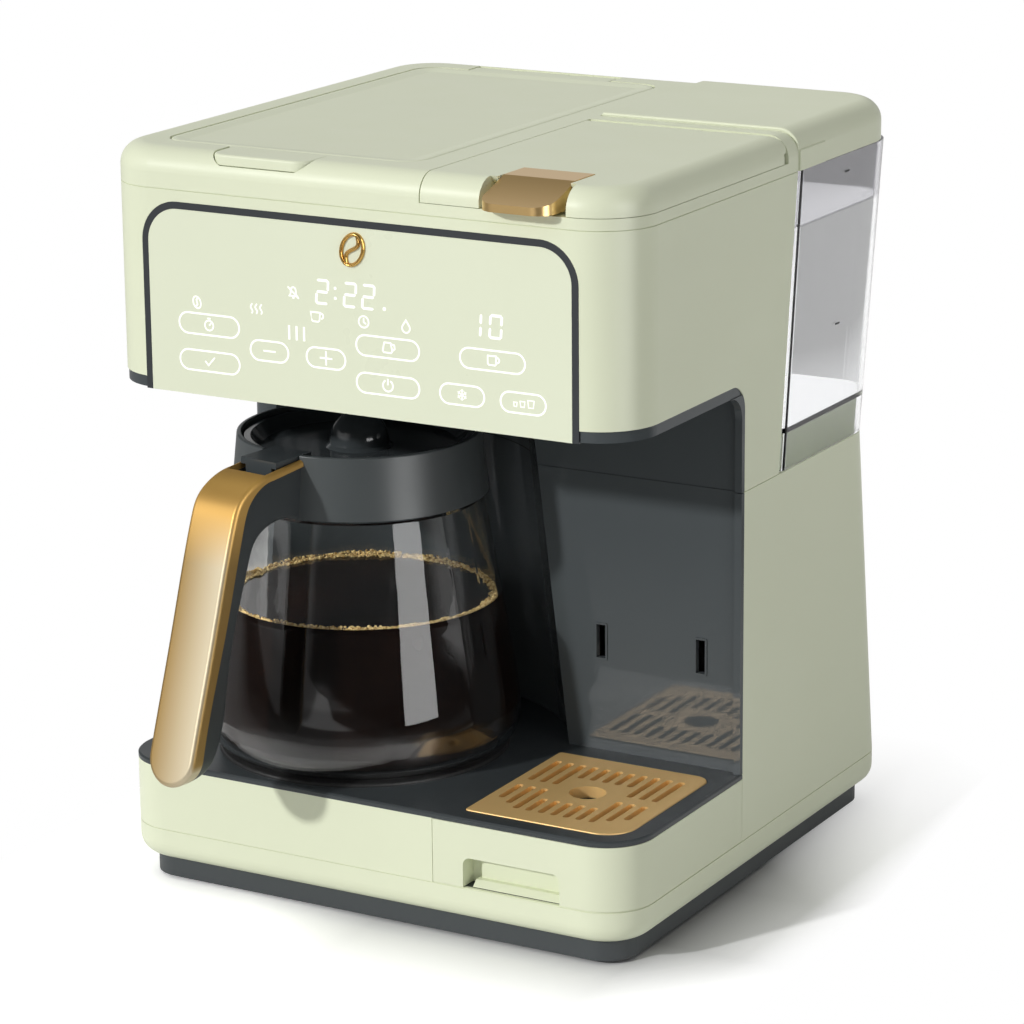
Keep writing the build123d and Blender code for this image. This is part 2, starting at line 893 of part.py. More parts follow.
recess_top = recess_radius - (liner_bottom - deck_top) * tan(radians(recess_draft))
with BuildPart() as recess_roof:
    add(column_front((liner_bottom, liner_floor_top), 0))
    add(
        ring((carafe_x, carafe_y), (liner_bottom, liner_floor_top), recess_top + liner_wall, 0),
        mode=Mode.INTERSECT,
    )

with BuildPart() as bay_corner_fill:
    add(
        block(
            (half_width - trim_width - 1, half_width + 1),
            (bay_wall_y - bay_corner, bay_wall_y + liner_wall + 1),
            (hood_bottom - bay_corner, hood_bottom),
        )
    )
    add(
        rod_along_x((half_width - trim_width - 2, half_width + 2), bay_wall_y - bay_corner,
                    hood_bottom - bay_corner, bay_corner),
        mode=Mode.SUBTRACT,
    )

with BuildPart() as ceiling_corner:
    add(
        block(
            (drawer_seam_x + 10, half_width),
            (bay_wall_y - trim_depth - liner_corner, bay_wall_y),
            (liner_bottom - liner_corner, liner_bottom),
        )
    )
    add(
        rod_along_x((drawer_seam_x, half_width + 1), bay_wall_y - trim_depth - liner_corner,
                    liner_bottom - liner_corner, liner_corner),
        mode=Mode.SUBTRACT,
    )
    add(
        block(
            (drawer_seam_x, half_width - trim_width),
            (bay_wall_y - trim_depth - liner_corner, bay_wall_y + 1),
            (liner_bottom - liner_corner, liner_bottom),
        ),
        mode=Mode.SUBTRACT,
    )

with BuildPart() as upper_liner:
    add(column_wall((waist_z, liner_bottom)))
    add(
        block(
            (-half_width - 1, half_width + 1),
            (bay_wall_y - trim_depth - 1, bay_wall_y + seam_depth),
            (waist_z, waist_z + seam_height),
        ),
        mode=Mode.SUBTRACT,
    )
    add(recess_cone(seam_depth, (waist_z, waist_z + seam_height)), mode=Mode.SUBTRACT)
    add(under_hood.part)
    add(recess_roof.part)
    add(ceiling_corner.part)
    add(bay_corner_fill.part, mode=Mode.SUBTRACT)
    add(
        ring((carafe_x, carafe_y), (liner_bottom - 1, hood_bottom), stop_hole_radius, 0),
        mode=Mode.SUBTRACT,
    )
    add(
        ring((pod_x, pod_y), (liner_bottom - 1, hood_bottom), spout_hole_radius, 0),
        mode=Mode.SUBTRACT,
    )
save(upper_liner.part, "upper_liner")


def top_block(x, y, z_low, z_high, inset, corner, edge):
    """Block with a rounded top edge, inset from its outer faces and top."""
    x_in = (x[0] + inset, x[1] - inset)
    y_in = (y[0] + inset, y[1] - inset)
    with BuildPart() as solid:
        extrude(outline(z_low, x_in, y_in, corner - inset), amount=z_high - inset - z_low)
        fillet(solid.faces().sort_by(Axis.Z)[-1].edges(), edge - inset)
    return solid.part


body_x = (-half_width, half_width)
body_y = (front_y, rear_y)
brew_hinge_z = top_z - knuckle_drop - knuckle_radius
pod_hinge_z = brew_hinge_z
strip_front_y = pod_hinge_y + knuckle_radius + strip_front_gap
tank_lid_front_y = bay_y(cover_seam) + tank_front_gap
strip_back_y = bay_y(cover_seam)
lid_bottom = top_z - brew_lid_thickness
cover_right_x = pod_left - lid_clearance
brew_left = -half_width + brew_left_margin
brew_front = front_y + brew_front_margin
brew_back = rear_y - brew_back_margin
brew_hinge_y = rear_y - brew_hinge_margin
brew_hinge_left = brew_left + brew_hinge_inset
brew_hinge_right = brew_hinge_left + brew_hinge_length
tab_top = top_z - knuckle_drop
tab_bottom = tab_top - tab_thickness
lug_centres = (0.3, 0.7)


def between(low, high, share):
    """Point at a share of the way from low to high."""
    return low + (high - low) * share


def brew_outline(height, grow, rear_grow):
    """Outline of the brew lid with its hinge tongue at the back."""
    back = brew_hinge_y + knuckle_radius + grow
    centre_y = (brew_front - grow + brew_back + rear_grow) / 2
    with BuildSketch(Plane.XY.offset(height)) as shape:
        with Locations(((brew_left + brew_right) / 2, centre_y)):
            Rectangle(brew_right - brew_left + 2 * grow, brew_back + rear_grow - brew_front + grow)
        fillet(shape.vertices(), brew_corner + grow)
        with Locations(((brew_hinge_left + brew_hinge_right) / 2, (brew_back - 10 + back) / 2)):
            Rectangle(brew_hinge_right - brew_hinge_left + 2 * grow, back - brew_back + 10)
    return shape.sketch


def tab_outline(height, grow):
    """Outline of the brew lid tab: round front corners and a flare at the lid."""
    with BuildSketch(Plane.XY.offset(height)) as shape:
        with Locations(((tab_left + tab_right) / 2, brew_front - tab_reach / 2 + 1 - grow / 2)):
            Rectangle(tab_right - tab_left + 2 * grow, tab_reach + 2 + grow)
        fillet(shape.vertices().sort_by(Axis.Y)[:2], tab_corner + grow)
        with Locations(((tab_left + tab_right) / 2, brew_front + 1 - tab_flare / 2)):
            Rectangle(tab_right - tab_left + 2 * tab_flare + 2 * grow, tab_flare + 2)
        with Locations((tab_left - tab_flare - grow, brew_front - tab_flare),
                       (tab_right + tab_flare + grow, brew_front - tab_flare)):
            Circle(tab_flare, mode=Mode.SUBTRACT)
    return shape.sketch


def hinge_lugs(left, right, y, z, bottom, gap):
    """Two lugs that hold a hinge pin, or the notches that clear them."""
    with BuildPart() as lugs:
        for share in lug_centres:
            x = between(left, right, share)
            width = lug_width / 2 + gap
            add(rod_along_x((x - width, x + width), y, z, knuckle_radius - 0.4 + 2 * gap))
            add(
                block(
                    (x - width, x + width),
                    (y - knuckle_radius + 0.4 - 2 * gap, y + knuckle_radius - 0.4 + 2 * gap),
                    (bottom, z),
                )
            )
    return lugs.part


# Top cover: shell with the brew opening, the pod ring and the strips between the lids

pod_floor_z = pod_seam - cover_roof
with BuildPart() as cover_hollow:
    add(top_block(body_x, body_y, cover_seam - 5, top_z, housing_wall, hood_corner, top_edge_radius))
    extrude(
        brew_outline(cover_seam - 6, lid_clearance + cover_roof, lid_rear_gap + cover_roof),
        amount=cover_height + 10,
        mode=Mode.SUBTRACT,
    )
    add(
        block(
            (cover_right_x - cover_roof, half_width),
            (front_y, strip_front_y + cover_roof),
            (pod_floor_z, top_z),
        ),
        mode=Mode.SUBTRACT,
    )
    add(
        block(
            (tank_left_x - housing_wall, half_width),
            (strip_back_y - housing_wall, rear_y),
            (cover_seam - 6, top_z),
        ),
        mode=Mode.SUBTRACT,
    )

with BuildPart() as tab_pocket:
    add(
        block(
            (tab_left - lid_clearance - tab_wall, tab_right + lid_clearance + tab_wall),
            (brew_front - tab_reach, brew_front - lid_clearance),
            (tab_bottom - lug_gap - tab_wall, top_z),
        )
    )
    add(top_block(body_x, body_y, cover_seam, top_z, 0, hood_corner, top_edge_radius),
        mode=Mode.INTERSECT)

with BuildPart() as top_cover:
    add(top_block(body_x, body_y, cover_seam, top_z, 0, hood_corner, top_edge_radius))
    add(cover_hollow.part, mode=Mode.SUBTRACT)
    add(tab_pocket.part)
    extrude(
        outline(
            cover_seam - 1,
            (brew_left - lid_clearance, brew_right + lid_clearance),
            (brew_front - lid_clearance, brew_back + lid_clearance),
            brew_corner,
        ),
        amount=lid_bottom - ledge_thickness - 0.3 - cover_seam + 1,
        mode=Mode.SUBTRACT,
    )
    extrude(brew_outline(lid_bottom - 0.3, lid_clearance, lid_rear_gap),
            amount=brew_lid_thickness + 2, mode=Mode.SUBTRACT)
    extrude(
        outline(
            cover_seam - 1,
            (brew_left + ledge_width, brew_right - ledge_width),
            (brew_front + ledge_width, brew_back - ledge_width),
            brew_corner - ledge_width / 2,
        ),
        amount=cover_height,
        mode=Mode.SUBTRACT,
    )
    add(
        block(
            (brew_hinge_left - lid_clearance, brew_hinge_right + lid_clearance),
            (brew_back - ledge_width - 1, brew_hinge_y + knuckle_radius + lid_clearance),
            (brew_hinge_z - knuckle_radius - lid_clearance, top_z),
        ),
        mode=Mode.SUBTRACT,
    )
    add(
        block(
            (cover_right_x, half_width + 1),
            (front_y - 1, strip_front_y),
            (pod_seam, top_z + 1),
        ),
        mode=Mode.SUBTRACT,
    )
    add(
        ring((pod_x, pod_y), (cover_seam - 1, pod_seam + 1), pod_holder_radius + 1.0, 0),
        mode=Mode.SUBTRACT,
    )
    add(
        block(
            (tank_left_x, half_width + 1),
            (strip_back_y, rear_y + 1),
            (cover_seam - 1, top_z + 1),
        ),
        mode=Mode.SUBTRACT,
    )
    extrude(tab_outline(tab_bottom - lug_gap, lid_clearance), amount=tab_thickness + 2,
            mode=Mode.SUBTRACT)
    add(seam_groove(cover_seam, rear_y, hood_corner), mode=Mode.SUBTRACT)
    add(
        hinge_lugs(brew_hinge_left, brew_hinge_right, brew_hinge_y, brew_hinge_z,
                   brew_hinge_z - knuckle_radius - lid_clearance - 1, 0)
    )
    add(hinge_lugs(pod_left, half_width - 12, pod_hinge_y, pod_hinge_z, pod_seam - 0.5, 0))
    add(
        rod_along_x((brew_hinge_left - 5, brew_hinge_right + 5), brew_hinge_y, brew_hinge_z,
                    hinge_pin_radius),
        mode=Mode.SUBTRACT,
    )
    add(
        rod_along_x((pod_left + 2, half_width - 14), pod_hinge_y, pod_hinge_z, hinge_pin_radius),
        mode=Mode.SUBTRACT,
    )
save(top_cover.part, "top_cover")

with BuildPart() as brew_hinge_pin:
    add(rod_along_x((brew_hinge_left - 5, brew_hinge_right + 5), brew_hinge_y, brew_hinge_z,
                    hinge_pin_radius))
save(brew_hinge_pin.part, "brew_hinge_pin")

with BuildPart() as pod_hinge_pin:
    add(rod_along_x((pod_left + 2, half_width - 14), pod_hinge_y, pod_hinge_z, hinge_pin_radius))
save(pod_hinge_pin.part, "pod_hinge_pin")

# Brew lid: dished lid with a front tab and a hinge barrel

shower_radius = 40.0
shower_hang = 6.0


def dish_outline(height, inset):
    """Outline of the shallow dish in the brew lid."""
    return outline(
        height,
        (brew_left + inset, brew_right - inset),
        (brew_front + inset, brew_back - inset),
        brew_corner - inset,
    )


with BuildPart() as lid_dish:
    loft([dish_outline(top_z - dish_depth, dish_inset + dish_border), dish_outline(top_z, dish_inset)],
         ruled=True)
    extrude(dish_outline(top_z, dish_inset), amount=1)

with BuildPart() as lid_tab:
    extrude(tab_outline(tab_bottom, 0), amount=tab_thickness)
    fillet(lid_tab.faces().sort_by(Axis.Z)[-1].edges().sort_by(Axis.Y)[:-1], lid_edge_radius)

with BuildPart() as brew_lid:
    extrude(brew_outline(lid_bottom, 0, 0), amount=brew_lid_thickness)
    fillet(brew_lid.faces().sort_by(Axis.Z)[-1].edges(), lid_edge_radius)
    add(lid_dish.part, mode=Mode.SUBTRACT)
    extrude(
        outline(
            lid_bottom - 1,
            (brew_left + lid_rim, brew_right - lid_rim),
            (brew_front + lid_rim, brew_back - lid_rim),
            brew_corner - lid_rim,
        ),
        amount=brew_lid_thickness - lid_roof + 1,
        mode=Mode.SUBTRACT,
    )
    add(
        block(
            (brew_hinge_left - 1, brew_hinge_right + 1),
            (brew_hinge_y, brew_hinge_y + knuckle_radius + 1),
            (lid_bottom - 1, top_z + 1),
        ),
        mode=Mode.SUBTRACT,
    )
    add(rod_along_x((brew_hinge_left, brew_hinge_right), brew_hinge_y, brew_hinge_z, knuckle_radius))
    add(ring((carafe_x, carafe_y), (lid_bottom - shower_hang, top_z - lid_roof), 12.0, 10.0))
    add(lid_tab.part)
    add(
        hinge_lugs(brew_hinge_left, brew_hinge_right, brew_hinge_y, brew_hinge_z,
                   lid_bottom - 2, lug_gap),
        mode=Mode.SUBTRACT,
    )
    add(
        rod_along_x((brew_hinge_left - 5, brew_hinge_right + 5), brew_hinge_y, brew_hinge_z,
                    hinge_pin_radius + running_gap),
        mode=Mode.SUBTRACT,
    )
save(brew_lid.part, "brew_lid")

with BuildPart() as shower_plate:
    add(ring((carafe_x, carafe_y), (lid_bottom - shower_hang - 2, lid_bottom - shower_hang),
             shower_radius, 0))
    with BuildSketch(Plane.XY.offset(lid_bottom - shower_hang - 3)):
        with Locations((carafe_x, carafe_y)):
            with PolarLocations(26, 12):
                Circle(1.6)
            with PolarLocations(14, 6):
                Circle(1.6)
    extrude(amount=4, mode=Mode.SUBTRACT)
save(shower_plate.part, "shower_plate")

# Pod lid: front right corner of the top, hollow, with a pocket for the latch

latch_left = pod_x - latch_width / 2
latch_right = pod_x + latch_width / 2
latch_back = front_y + latch_back_reach
latch_bend = front_y + latch_bend_reach
latch_nose = front_y - latch_nose_reach
latch_heel = front_y + latch_heel_reach
latch_z = top_z - 1.8
pocket_x = (latch_left - latch_gap, latch_right + latch_gap)
latch_pin_x = (pocket_x[0] - latch_pin_overhang, pocket_x[1] + latch_pin_overhang)
with BuildPart() as pod_barrel:
    add(rod_along_x((pod_left, half_width), pod_hinge_y, pod_hinge_z, knuckle_radius))
    add(top_block(body_x, body_y, pod_seam, top_z, 0, hood_corner, top_edge_radius),
        mode=Mode.INTERSECT)

with BuildPart() as grip_pocket:
    with BuildSketch(Plane.YZ.offset(latch_left - latch_grip)):
        with BuildLine():
            Polyline(
                (latch_bend + 1, top_z - 4.0),
                (latch_heel, pod_seam - 1),
                (front_y - 1, pod_seam - 1),
                (front_y - 1, top_z + 1),
                (latch_bend - 5, top_z + 1),
            )
            ThreePointArc(
                (latch_bend - 5, top_z + 1),
                (latch_bend - 3.4, top_z - 2.2),
                (latch_bend + 1, top_z - 4.0),
            )
        make_face()
    extrude(amount=latch_right - latch_left + 2 * latch_grip)

with BuildPart() as pod_lid:
    add(top_block(body_x, body_y, pod_seam + drawer_gap, top_z, 0, hood_corner, top_edge_radius))
    add(
        top_block(body_x, body_y, pod_seam - 5, top_z, pod_wall, hood_corner, top_edge_radius),
        mode=Mode.SUBTRACT,
    )
    add(block((pod_left, half_width + 1), (front_y - 1, pod_hinge_y), (pod_seam, top_z + 1)),
        mode=Mode.INTERSECT)
    add(
        block(
            (pod_left, pod_left + pod_wall),
            (front_y + top_edge_radius, pod_hinge_y),
            (pod_seam + drawer_gap, top_z - 0.5),
        )
    )
    add(
        block(
            (pod_left, pod_left + pod_wall),
            (front_y + 0.4, front_y + top_edge_radius + 1),
            (pod_seam + drawer_gap, top_z - top_edge_radius),
        )
    )
    add(pod_barrel.part)
    for pocket_front, pocket_top in ((front_y + 3, top_z - 4), (front_y + 7, top_z - 1)):
        add(
            block(
                (latch_left - latch_grip - 2, latch_right + latch_grip + 2),
                (pocket_front, latch_back + latch_back_gap + 2),
                (pod_seam + drawer_gap, pocket_top),
            )
        )
    add(
        side_profile(
            [
                (latch_back + latch_back_gap, top_z + 1),
                (latch_back + latch_back_gap, top_z - latch_strip - latch_gap - 0.6),
                (latch_bend + 1, top_z - latch_strip - latch_gap - 0.6),
                (latch_heel, pod_seam - 1),
                (front_y - 1, pod_seam - 1),
                (front_y - 1, top_z + 1),
            ],
            pocket_x,
        ),
        mode=Mode.SUBTRACT,
    )
    add(grip_pocket.part, mode=Mode.SUBTRACT)
    add(ring((pod_x, pod_y), (pod_seam + 2, top_z - 2), 12.0, 0))
    add(
        hinge_lugs(pod_left, half_width - 12, pod_hinge_y, pod_hinge_z, pod_seam - 1, lug_gap),
        mode=Mode.SUBTRACT,
    )
    add(
        rod_along_x((pod_left - 1, half_width - 14), pod_hinge_y, pod_hinge_z,
                    hinge_pin_radius + running_gap),
        mode=Mode.SUBTRACT,
    )
    add(
        rod_along_x(latch_pin_x, latch_back - 2.5, latch_z - 0.2, latch_pin_radius),
        mode=Mode.SUBTRACT,
    )
save(pod_lid.part, "pod_lid")

with BuildPart() as latch_pin:
    add(rod_along_x(latch_pin_x, latch_back - 2.5, latch_z - 0.2, latch_pin_radius))
save(latch_pin.part, "latch_pin")

with BuildPart() as upper_needle:
    add(turned((pod_x, pod_y), [(0, pod_seam + 2), (6, pod_seam + 2), (6, pod_seam - 1),
                                (needle_radius, pod_seam - 1), (needle_radius, pod_seam - 8),
                                (0, pod_seam - 11)]))
save(upper_needle.part, "upper_needle")

# Latch: a flat strip that slopes down to a rounded nose in front of the lid

with BuildPart() as pod_latch:
    with BuildSketch(Plane.YZ.offset(latch_left)):
        with BuildLine():
            Polyline(
                (latch_nose, pod_seam + latch_nose_height),
                (latch_nose, pod_seam + latch_nose_rise),
                (latch_heel - latch_gap, pod_seam + latch_nose_rise),
                (latch_bend, top_z - latch_strip),
                (latch_back, top_z - latch_strip),
                (latch_back, top_z + 0.2),
                (latch_bend, top_z + 0.2),
            )
            ThreePointArc(
                (latch_bend, top_z + 0.2),
                ((latch_bend + latch_nose) / 2, top_z - 4.6),
                (latch_nose, pod_seam + latch_nose_height),
            )
        make_face()
    extrude(amount=latch_right - latch_left)
    with BuildSketch(Plane.XY.offset(pod_seam - 2)) as latch_plan:
        with Locations(((latch_left + latch_right) / 2, (latch_nose + latch_back) / 2)):
            Rectangle(latch_right - latch_left, latch_back - latch_nose)
        fillet(latch_plan.vertices().sort_by(Axis.Y)[:2], latch_front_corner)
    extrude(amount=top_z - pod_seam + 5, mode=Mode.INTERSECT)
    add(
        rod_along_x((latch_left - 1, latch_right + 1), latch_back - 2.5, latch_z - 0.2,
                    latch_pin_radius + running_gap),
        mode=Mode.SUBTRACT,
    )
save(pod_latch.part, "pod_latch")


def tank_section(height, inset):
    """Section of the tank at a height: small corners, one large rear corner."""
    z = min(height, cover_seam)
    x = (tank_left_x + tank_side_gap + inset, half_width - inset)
    y = (bay_y(z) + tank_front_gap + inset, hood_rear(z) - inset)
    small = max(tank_corner - inset, 1.0)
    with BuildSketch(Plane.XY.offset(height)) as shape:
        with Locations(((x[0] + x[1]) / 2, (y[0] + y[1]) / 2)):
            Rectangle(x[1] - x[0], y[1] - y[0])
        rear_right = shape.vertices().sort_by(Axis.Y)[-2:].sort_by(Axis.X)[-1]
        fillet(rear_right, tank_rear_corner - inset)
        fillet(shape.vertices().sort_by(Axis.X)[:2], small)
        fillet(shape.vertices().sort_by(Axis.Y)[:2].sort_by(Axis.X)[-1], small)
    return shape.sketch


def tank_block(low, high, inset):
    """Part of the leaning tank between two heights."""
    with BuildPart() as solid:
        loft([tank_section(low, inset), tank_section(high, inset)], ruled=True)
    return solid.part


# Tank pedestal: shelf with the raised block that the tank stands on

tank_valve_x = half_width - tank_valve_inset
tank_valve_y = tank_front_y + tank_valve_reach
tank_floor_z = waist_z + tank_floor_rise
tank_bottom = waist_z + 0.5
pedestal_top = tank_floor_z - pedestal_gap
seal_radius = valve_hole_radius + 5
with BuildPart() as tank_pedestal:
    extrude(
        outline(
            waist_z - housing_wall,
            (tank_left_x - housing_wall, half_width - housing_wall - 0.1),
            (tank_front_y - housing_wall, waist_rear_y - housing_wall - 0.4),
            base_corner - housing_wall,
        ),
        amount=housing_wall,
    )
    add(tank_block(waist_z, pedestal_top, tank_wall + pedestal_gap))
    add(
        tank_block(waist_z - housing_wall - 1, pedestal_top - housing_wall,
                   tank_wall + pedestal_gap + housing_wall),
        mode=Mode.SUBTRACT,
    )
    add(ring((tank_valve_x, tank_valve_y), (waist_z, pedestal_top + 2), seal_radius, 0),
        mode=Mode.SUBTRACT)
    add(
        ring((tank_valve_x, tank_valve_y), (pedestal_top - 10, pedestal_top - 5), seal_radius + 2,
             valve_stem_radius + 2)
    )
    add(
        ring((tank_valve_x, tank_valve_y), (pedestal_top - 10, pedestal_top - housing_wall + 0.5),
             seal_radius + 2, seal_radius)
    )
save(tank_pedestal.part, "tank_pedestal")

with BuildPart() as tank_seal:
    add(ring((tank_valve_x, tank_valve_y), (pedestal_top - 5, pedestal_top), seal_radius,
             valve_stem_radius + 2))
save(tank_seal.part, "tank_seal")

# Tank: clear leaning box, open at the top, with a skirt below its floor

with BuildPart() as tank_shell:
    add(tank_block(tank_bottom, cover_seam, 0))
    add(tank_block(tank_floor_z + tank_floor, cover_seam + 1, tank_wall), mode=Mode.SUBTRACT)
    add(tank_block(tank_bottom - 1, tank_floor_z, tank_wall), mode=Mode.SUBTRACT)
    add(ring((tank_valve_x, tank_valve_y), (tank_floor_z - 1, tank_floor_z + 5), valve_hole_radius, 0),
        mode=Mode.SUBTRACT)
save(tank_shell.part, "tank_shell")

# Tank valve: a sprung poppet in the tank floor

valve_top = tank_floor_z + tank_floor
with BuildPart() as tank_valve:
    add(
        turned(
            (tank_valve_x, tank_valve_y),
            [
                (0, tank_floor_z - 0.3),
                (valve_stem_radius, tank_floor_z - 0.3),
                (valve_stem_radius, valve_top + 0.3),
                (valve_hole_radius + 2.5, valve_top + 0.3),
                (valve_hole_radius + 2.5, valve_top + 2.6),
                (valve_stem_radius, valve_top + 4.0),
                (valve_stem_radius - 0.6, valve_top + 10.0),
                (0, valve_top + 15.0),
            ],
        )
    )
save(tank_valve.part, "tank_valve")

# Tank lid, hinged at the rear bottom edge

tank_x = (tank_left_x + tank_side_gap, half_width)
tank_lid_y = (tank_lid_front_y, rear_y)
tank_lid_bottom = cover_seam + 0.2
tank_hinge_z = cover_seam + 2.9
tank_hinge_y = rear_y - 2.4
tank_knuckle = 2.2
tank_hinge_x = (tank_x[0] + tank_hinge_left, half_width - tank_hinge_right)
tank_lug_x = (between(tank_hinge_x[0], tank_hinge_x[1], 0.35),
              between(tank_hinge_x[0], tank_hinge_x[1], 0.65))


def tank_lid_block(low, inset):
    """Lid block with a large rear right corner and rounded outer top edges."""
    x = (tank_x[0] + inset, tank_x[1] - inset)
    y = (tank_lid_y[0] + inset, tank_lid_y[1] - inset)
    with BuildPart() as solid:
        with BuildSketch(Plane.XY.offset(low)) as shape:
            with Locations(((x[0] + x[1]) / 2, (y[0] + y[1]) / 2)):
                Rectangle(x[1] - x[0], y[1] - y[0])
            rear_right = shape.vertices().sort_by(Axis.Y)[-2:].sort_by(Axis.X)[-1]
            fillet(rear_right, hood_corner - inset)
        extrude(amount=tank_lid_top - inset - low)
        top_edges = solid.faces().sort_by(Axis.Z)[-1].edges()
        outer_edges = top_edges.sort_by(Axis.X)[-1:] + top_edges.sort_by(Axis.Y)[-1:]
        outer_edges = outer_edges + top_edges.filter_by(GeomType.CIRCLE)
        fillet(outer_edges, top_edge_radius - inset)
        if inset == 0:
            inner_edges = solid.faces().sort_by(Axis.Z)[-1].edges()
            fillet(inner_edges.sort_by(Axis.Y)[:1] + inner_edges.sort_by(Axis.X)[:1],
                   tank_lid_edge_radius)
    return solid.part


with BuildPart() as side_pad:
    add(
        block(
            (half_width - 2, half_width + side_pad_rise),
            (tank_lid_front_y + 0.3, tank_lid_front_y + 0.3 + side_pad_length),
            (tank_lid_bottom, tank_lid_bottom + side_pad_height),
        )
    )
    fillet(side_pad.edges(), side_pad_rise * 0.7)

with BuildPart() as tank_lid:
    add(tank_lid_block(tank_lid_bottom, 0))
    add(tank_lid_block(tank_lid_bottom - 1, tank_lid_roof), mode=Mode.SUBTRACT)
    add(
        block(
            (tank_x[0] - 1, half_width + 1),
            (tank_hinge_y - tank_knuckle - 1.5, rear_y + 1),
            (tank_lid_bottom - 1, tank_hinge_z),
        ),
        mode=Mode.SUBTRACT,
    )
    add(
        block(
            (tank_hinge_x[0] - 1, tank_hinge_x[1] + 1),
            (tank_hinge_y - tank_knuckle - 1.5, rear_y + 1),
            (tank_hinge_z - 1, tank_hinge_z + tank_knuckle + 0.5),
        ),
        mode=Mode.SUBTRACT,
    )
    for ends in ((tank_hinge_x[0], tank_lug_x[0] - lug_gap), (tank_lug_x[1] + lug_gap, tank_hinge_x[1])):
        add(rod_along_x(ends, tank_hinge_y, tank_hinge_z, tank_knuckle))
        add(
            block(
                ends,
                (tank_hinge_y - 1.2, tank_hinge_y + tank_knuckle),
                (tank_hinge_z, tank_hinge_z + tank_knuckle + 1),
            )
        )
    add(side_pad.part)
    add(
        rod_along_x((tank_hinge_x[0] - 1, tank_hinge_x[1] + 1), tank_hinge_y, tank_hinge_z,
                    hinge_pin_radius - 0.5 + running_gap),
        mode=Mode.SUBTRACT,
    )
save(tank_lid.part, "tank_lid")

with BuildPart() as tank_hinge:
    add(rod_along_x(tank_hinge_x, tank_hinge_y, tank_hinge_z, hinge_pin_radius - 0.5))
    add(rod_along_x(tank_lug_x, tank_hinge_y, tank_hinge_z, tank_knuckle))
    add(
        block(
            tank_lug_x,
            (tank_hinge_y - tank_knuckle, tank_hinge_y + tank_knuckle * 0.6),
            (cover_seam, tank_hinge_z),
        )
    )
save(tank_hinge.part, "tank_hinge")


# Carafe: glass body, collar, lid with its thumb lever, and the two-part handle

carafe_centre = (carafe_x, carafe_y)
glass_z = plate_top + carafe_lift
shoulder_z = liner_bottom - carafe_headroom
glass_height = shoulder_z - glass_z
neck_top = shoulder_z + neck_height
belly_shares = ((0.97, 0.19), (0.82, 0.34), (0.55, 0.575), (0.17, 0.88), (0.0, 1.0))


def glass_body(inset, rise):
    """Turned body of the carafe, inset from its outer surface."""
    belly = glass_radius - inset
    round_radius = glass_base_round - inset
    centre = (carafe_x + glass_radius - glass_base_round, glass_z + glass_base_round)
    lean = round_radius * sqrt(0.5)
    spread = glass_radius - glass_shoulder_radius
    curve = [(carafe_x + belly, glass_z + glass_base_round)]
    for radius_share, height_share in belly_shares:
        radius = glass_shoulder_radius + spread * radius_share - inset
        curve.append((carafe_x + radius, glass_z + glass_height * height_share))
    neck_x = carafe_x + glass_neck_radius - inset
    with BuildPart() as solid:
        with BuildSketch(Plane(origin=(0, carafe_y, 0), x_dir=(1, 0, 0), z_dir=(0, -1, 0))):
            with BuildLine():
                Line((carafe_x, glass_z + inset), (centre[0], glass_z + inset))
                ThreePointArc(
                    (centre[0], glass_z + inset),
                    (centre[0] + lean, centre[1] - lean),
                    curve[0],
                )
                Spline(*curve, tangents=((0, 1), (-0.25, 1)))
                Line(curve[-1], (neck_x, shoulder_z + collar_seat))
                Line((neck_x, shoulder_z + collar_seat), (neck_x, neck_top + rise))
                Line((neck_x, neck_top + rise), (carafe_x, neck_top + rise))
                Line((carafe_x, neck_top + rise), (carafe_x, glass_z + inset))
            make_face()
        revolve(axis=Axis((carafe_x, carafe_y, 0), (0, 0, 1)))
    return solid.part


with BuildPart() as carafe_glass:
    add(glass_body(0, 0))
    add(glass_body(glass_wall, 1), mode=Mode.SUBTRACT)
save(carafe_glass.part, "carafe_glass")

handle_plane = Plane(
    origin=(carafe_x, carafe_y, 0),
    x_dir=(cos(radians(handle_angle)), sin(radians(handle_angle)), 0),
    z_dir=(sin(radians(handle_angle)), -cos(radians(handle_angle)), 0),
)
collar_bottom = shoulder_z + collar_seat
collar_top = collar_bottom + collar_height
pin_z = collar_top - lid_pin_drop


def handle_block(reach, z, width):
    """Block in the plane of the handle, between two radii and two heights."""
    with BuildPart() as solid:
        with BuildSketch(handle_plane):
            with Locations(((reach[0] + reach[1]) / 2, (z[0] + z[1]) / 2)):
                Rectangle(reach[1] - reach[0], z[1] - z[0])
        extrude(amount=width / 2, both=True)
    return solid.part


def handle_rod(reach, z, radius, width):
    """Round bar across the handle."""
    with BuildPart() as rod:
        with BuildSketch(handle_plane):
            with Locations((reach, z)):
                Circle(radius)
        extrude(amount=width / 2, both=True)
    return rod.part


def collar_cone(extra):
    """Outer cone of the collar, grown by a small amount."""
    return turned(
        carafe_centre,
        [
            (0, collar_bottom - extra),
            (collar_base_radius + extra, collar_bottom - extra),
            (collar_top_radius + extra, collar_top + extra),
            (0, collar_top + extra),
        ],
    )


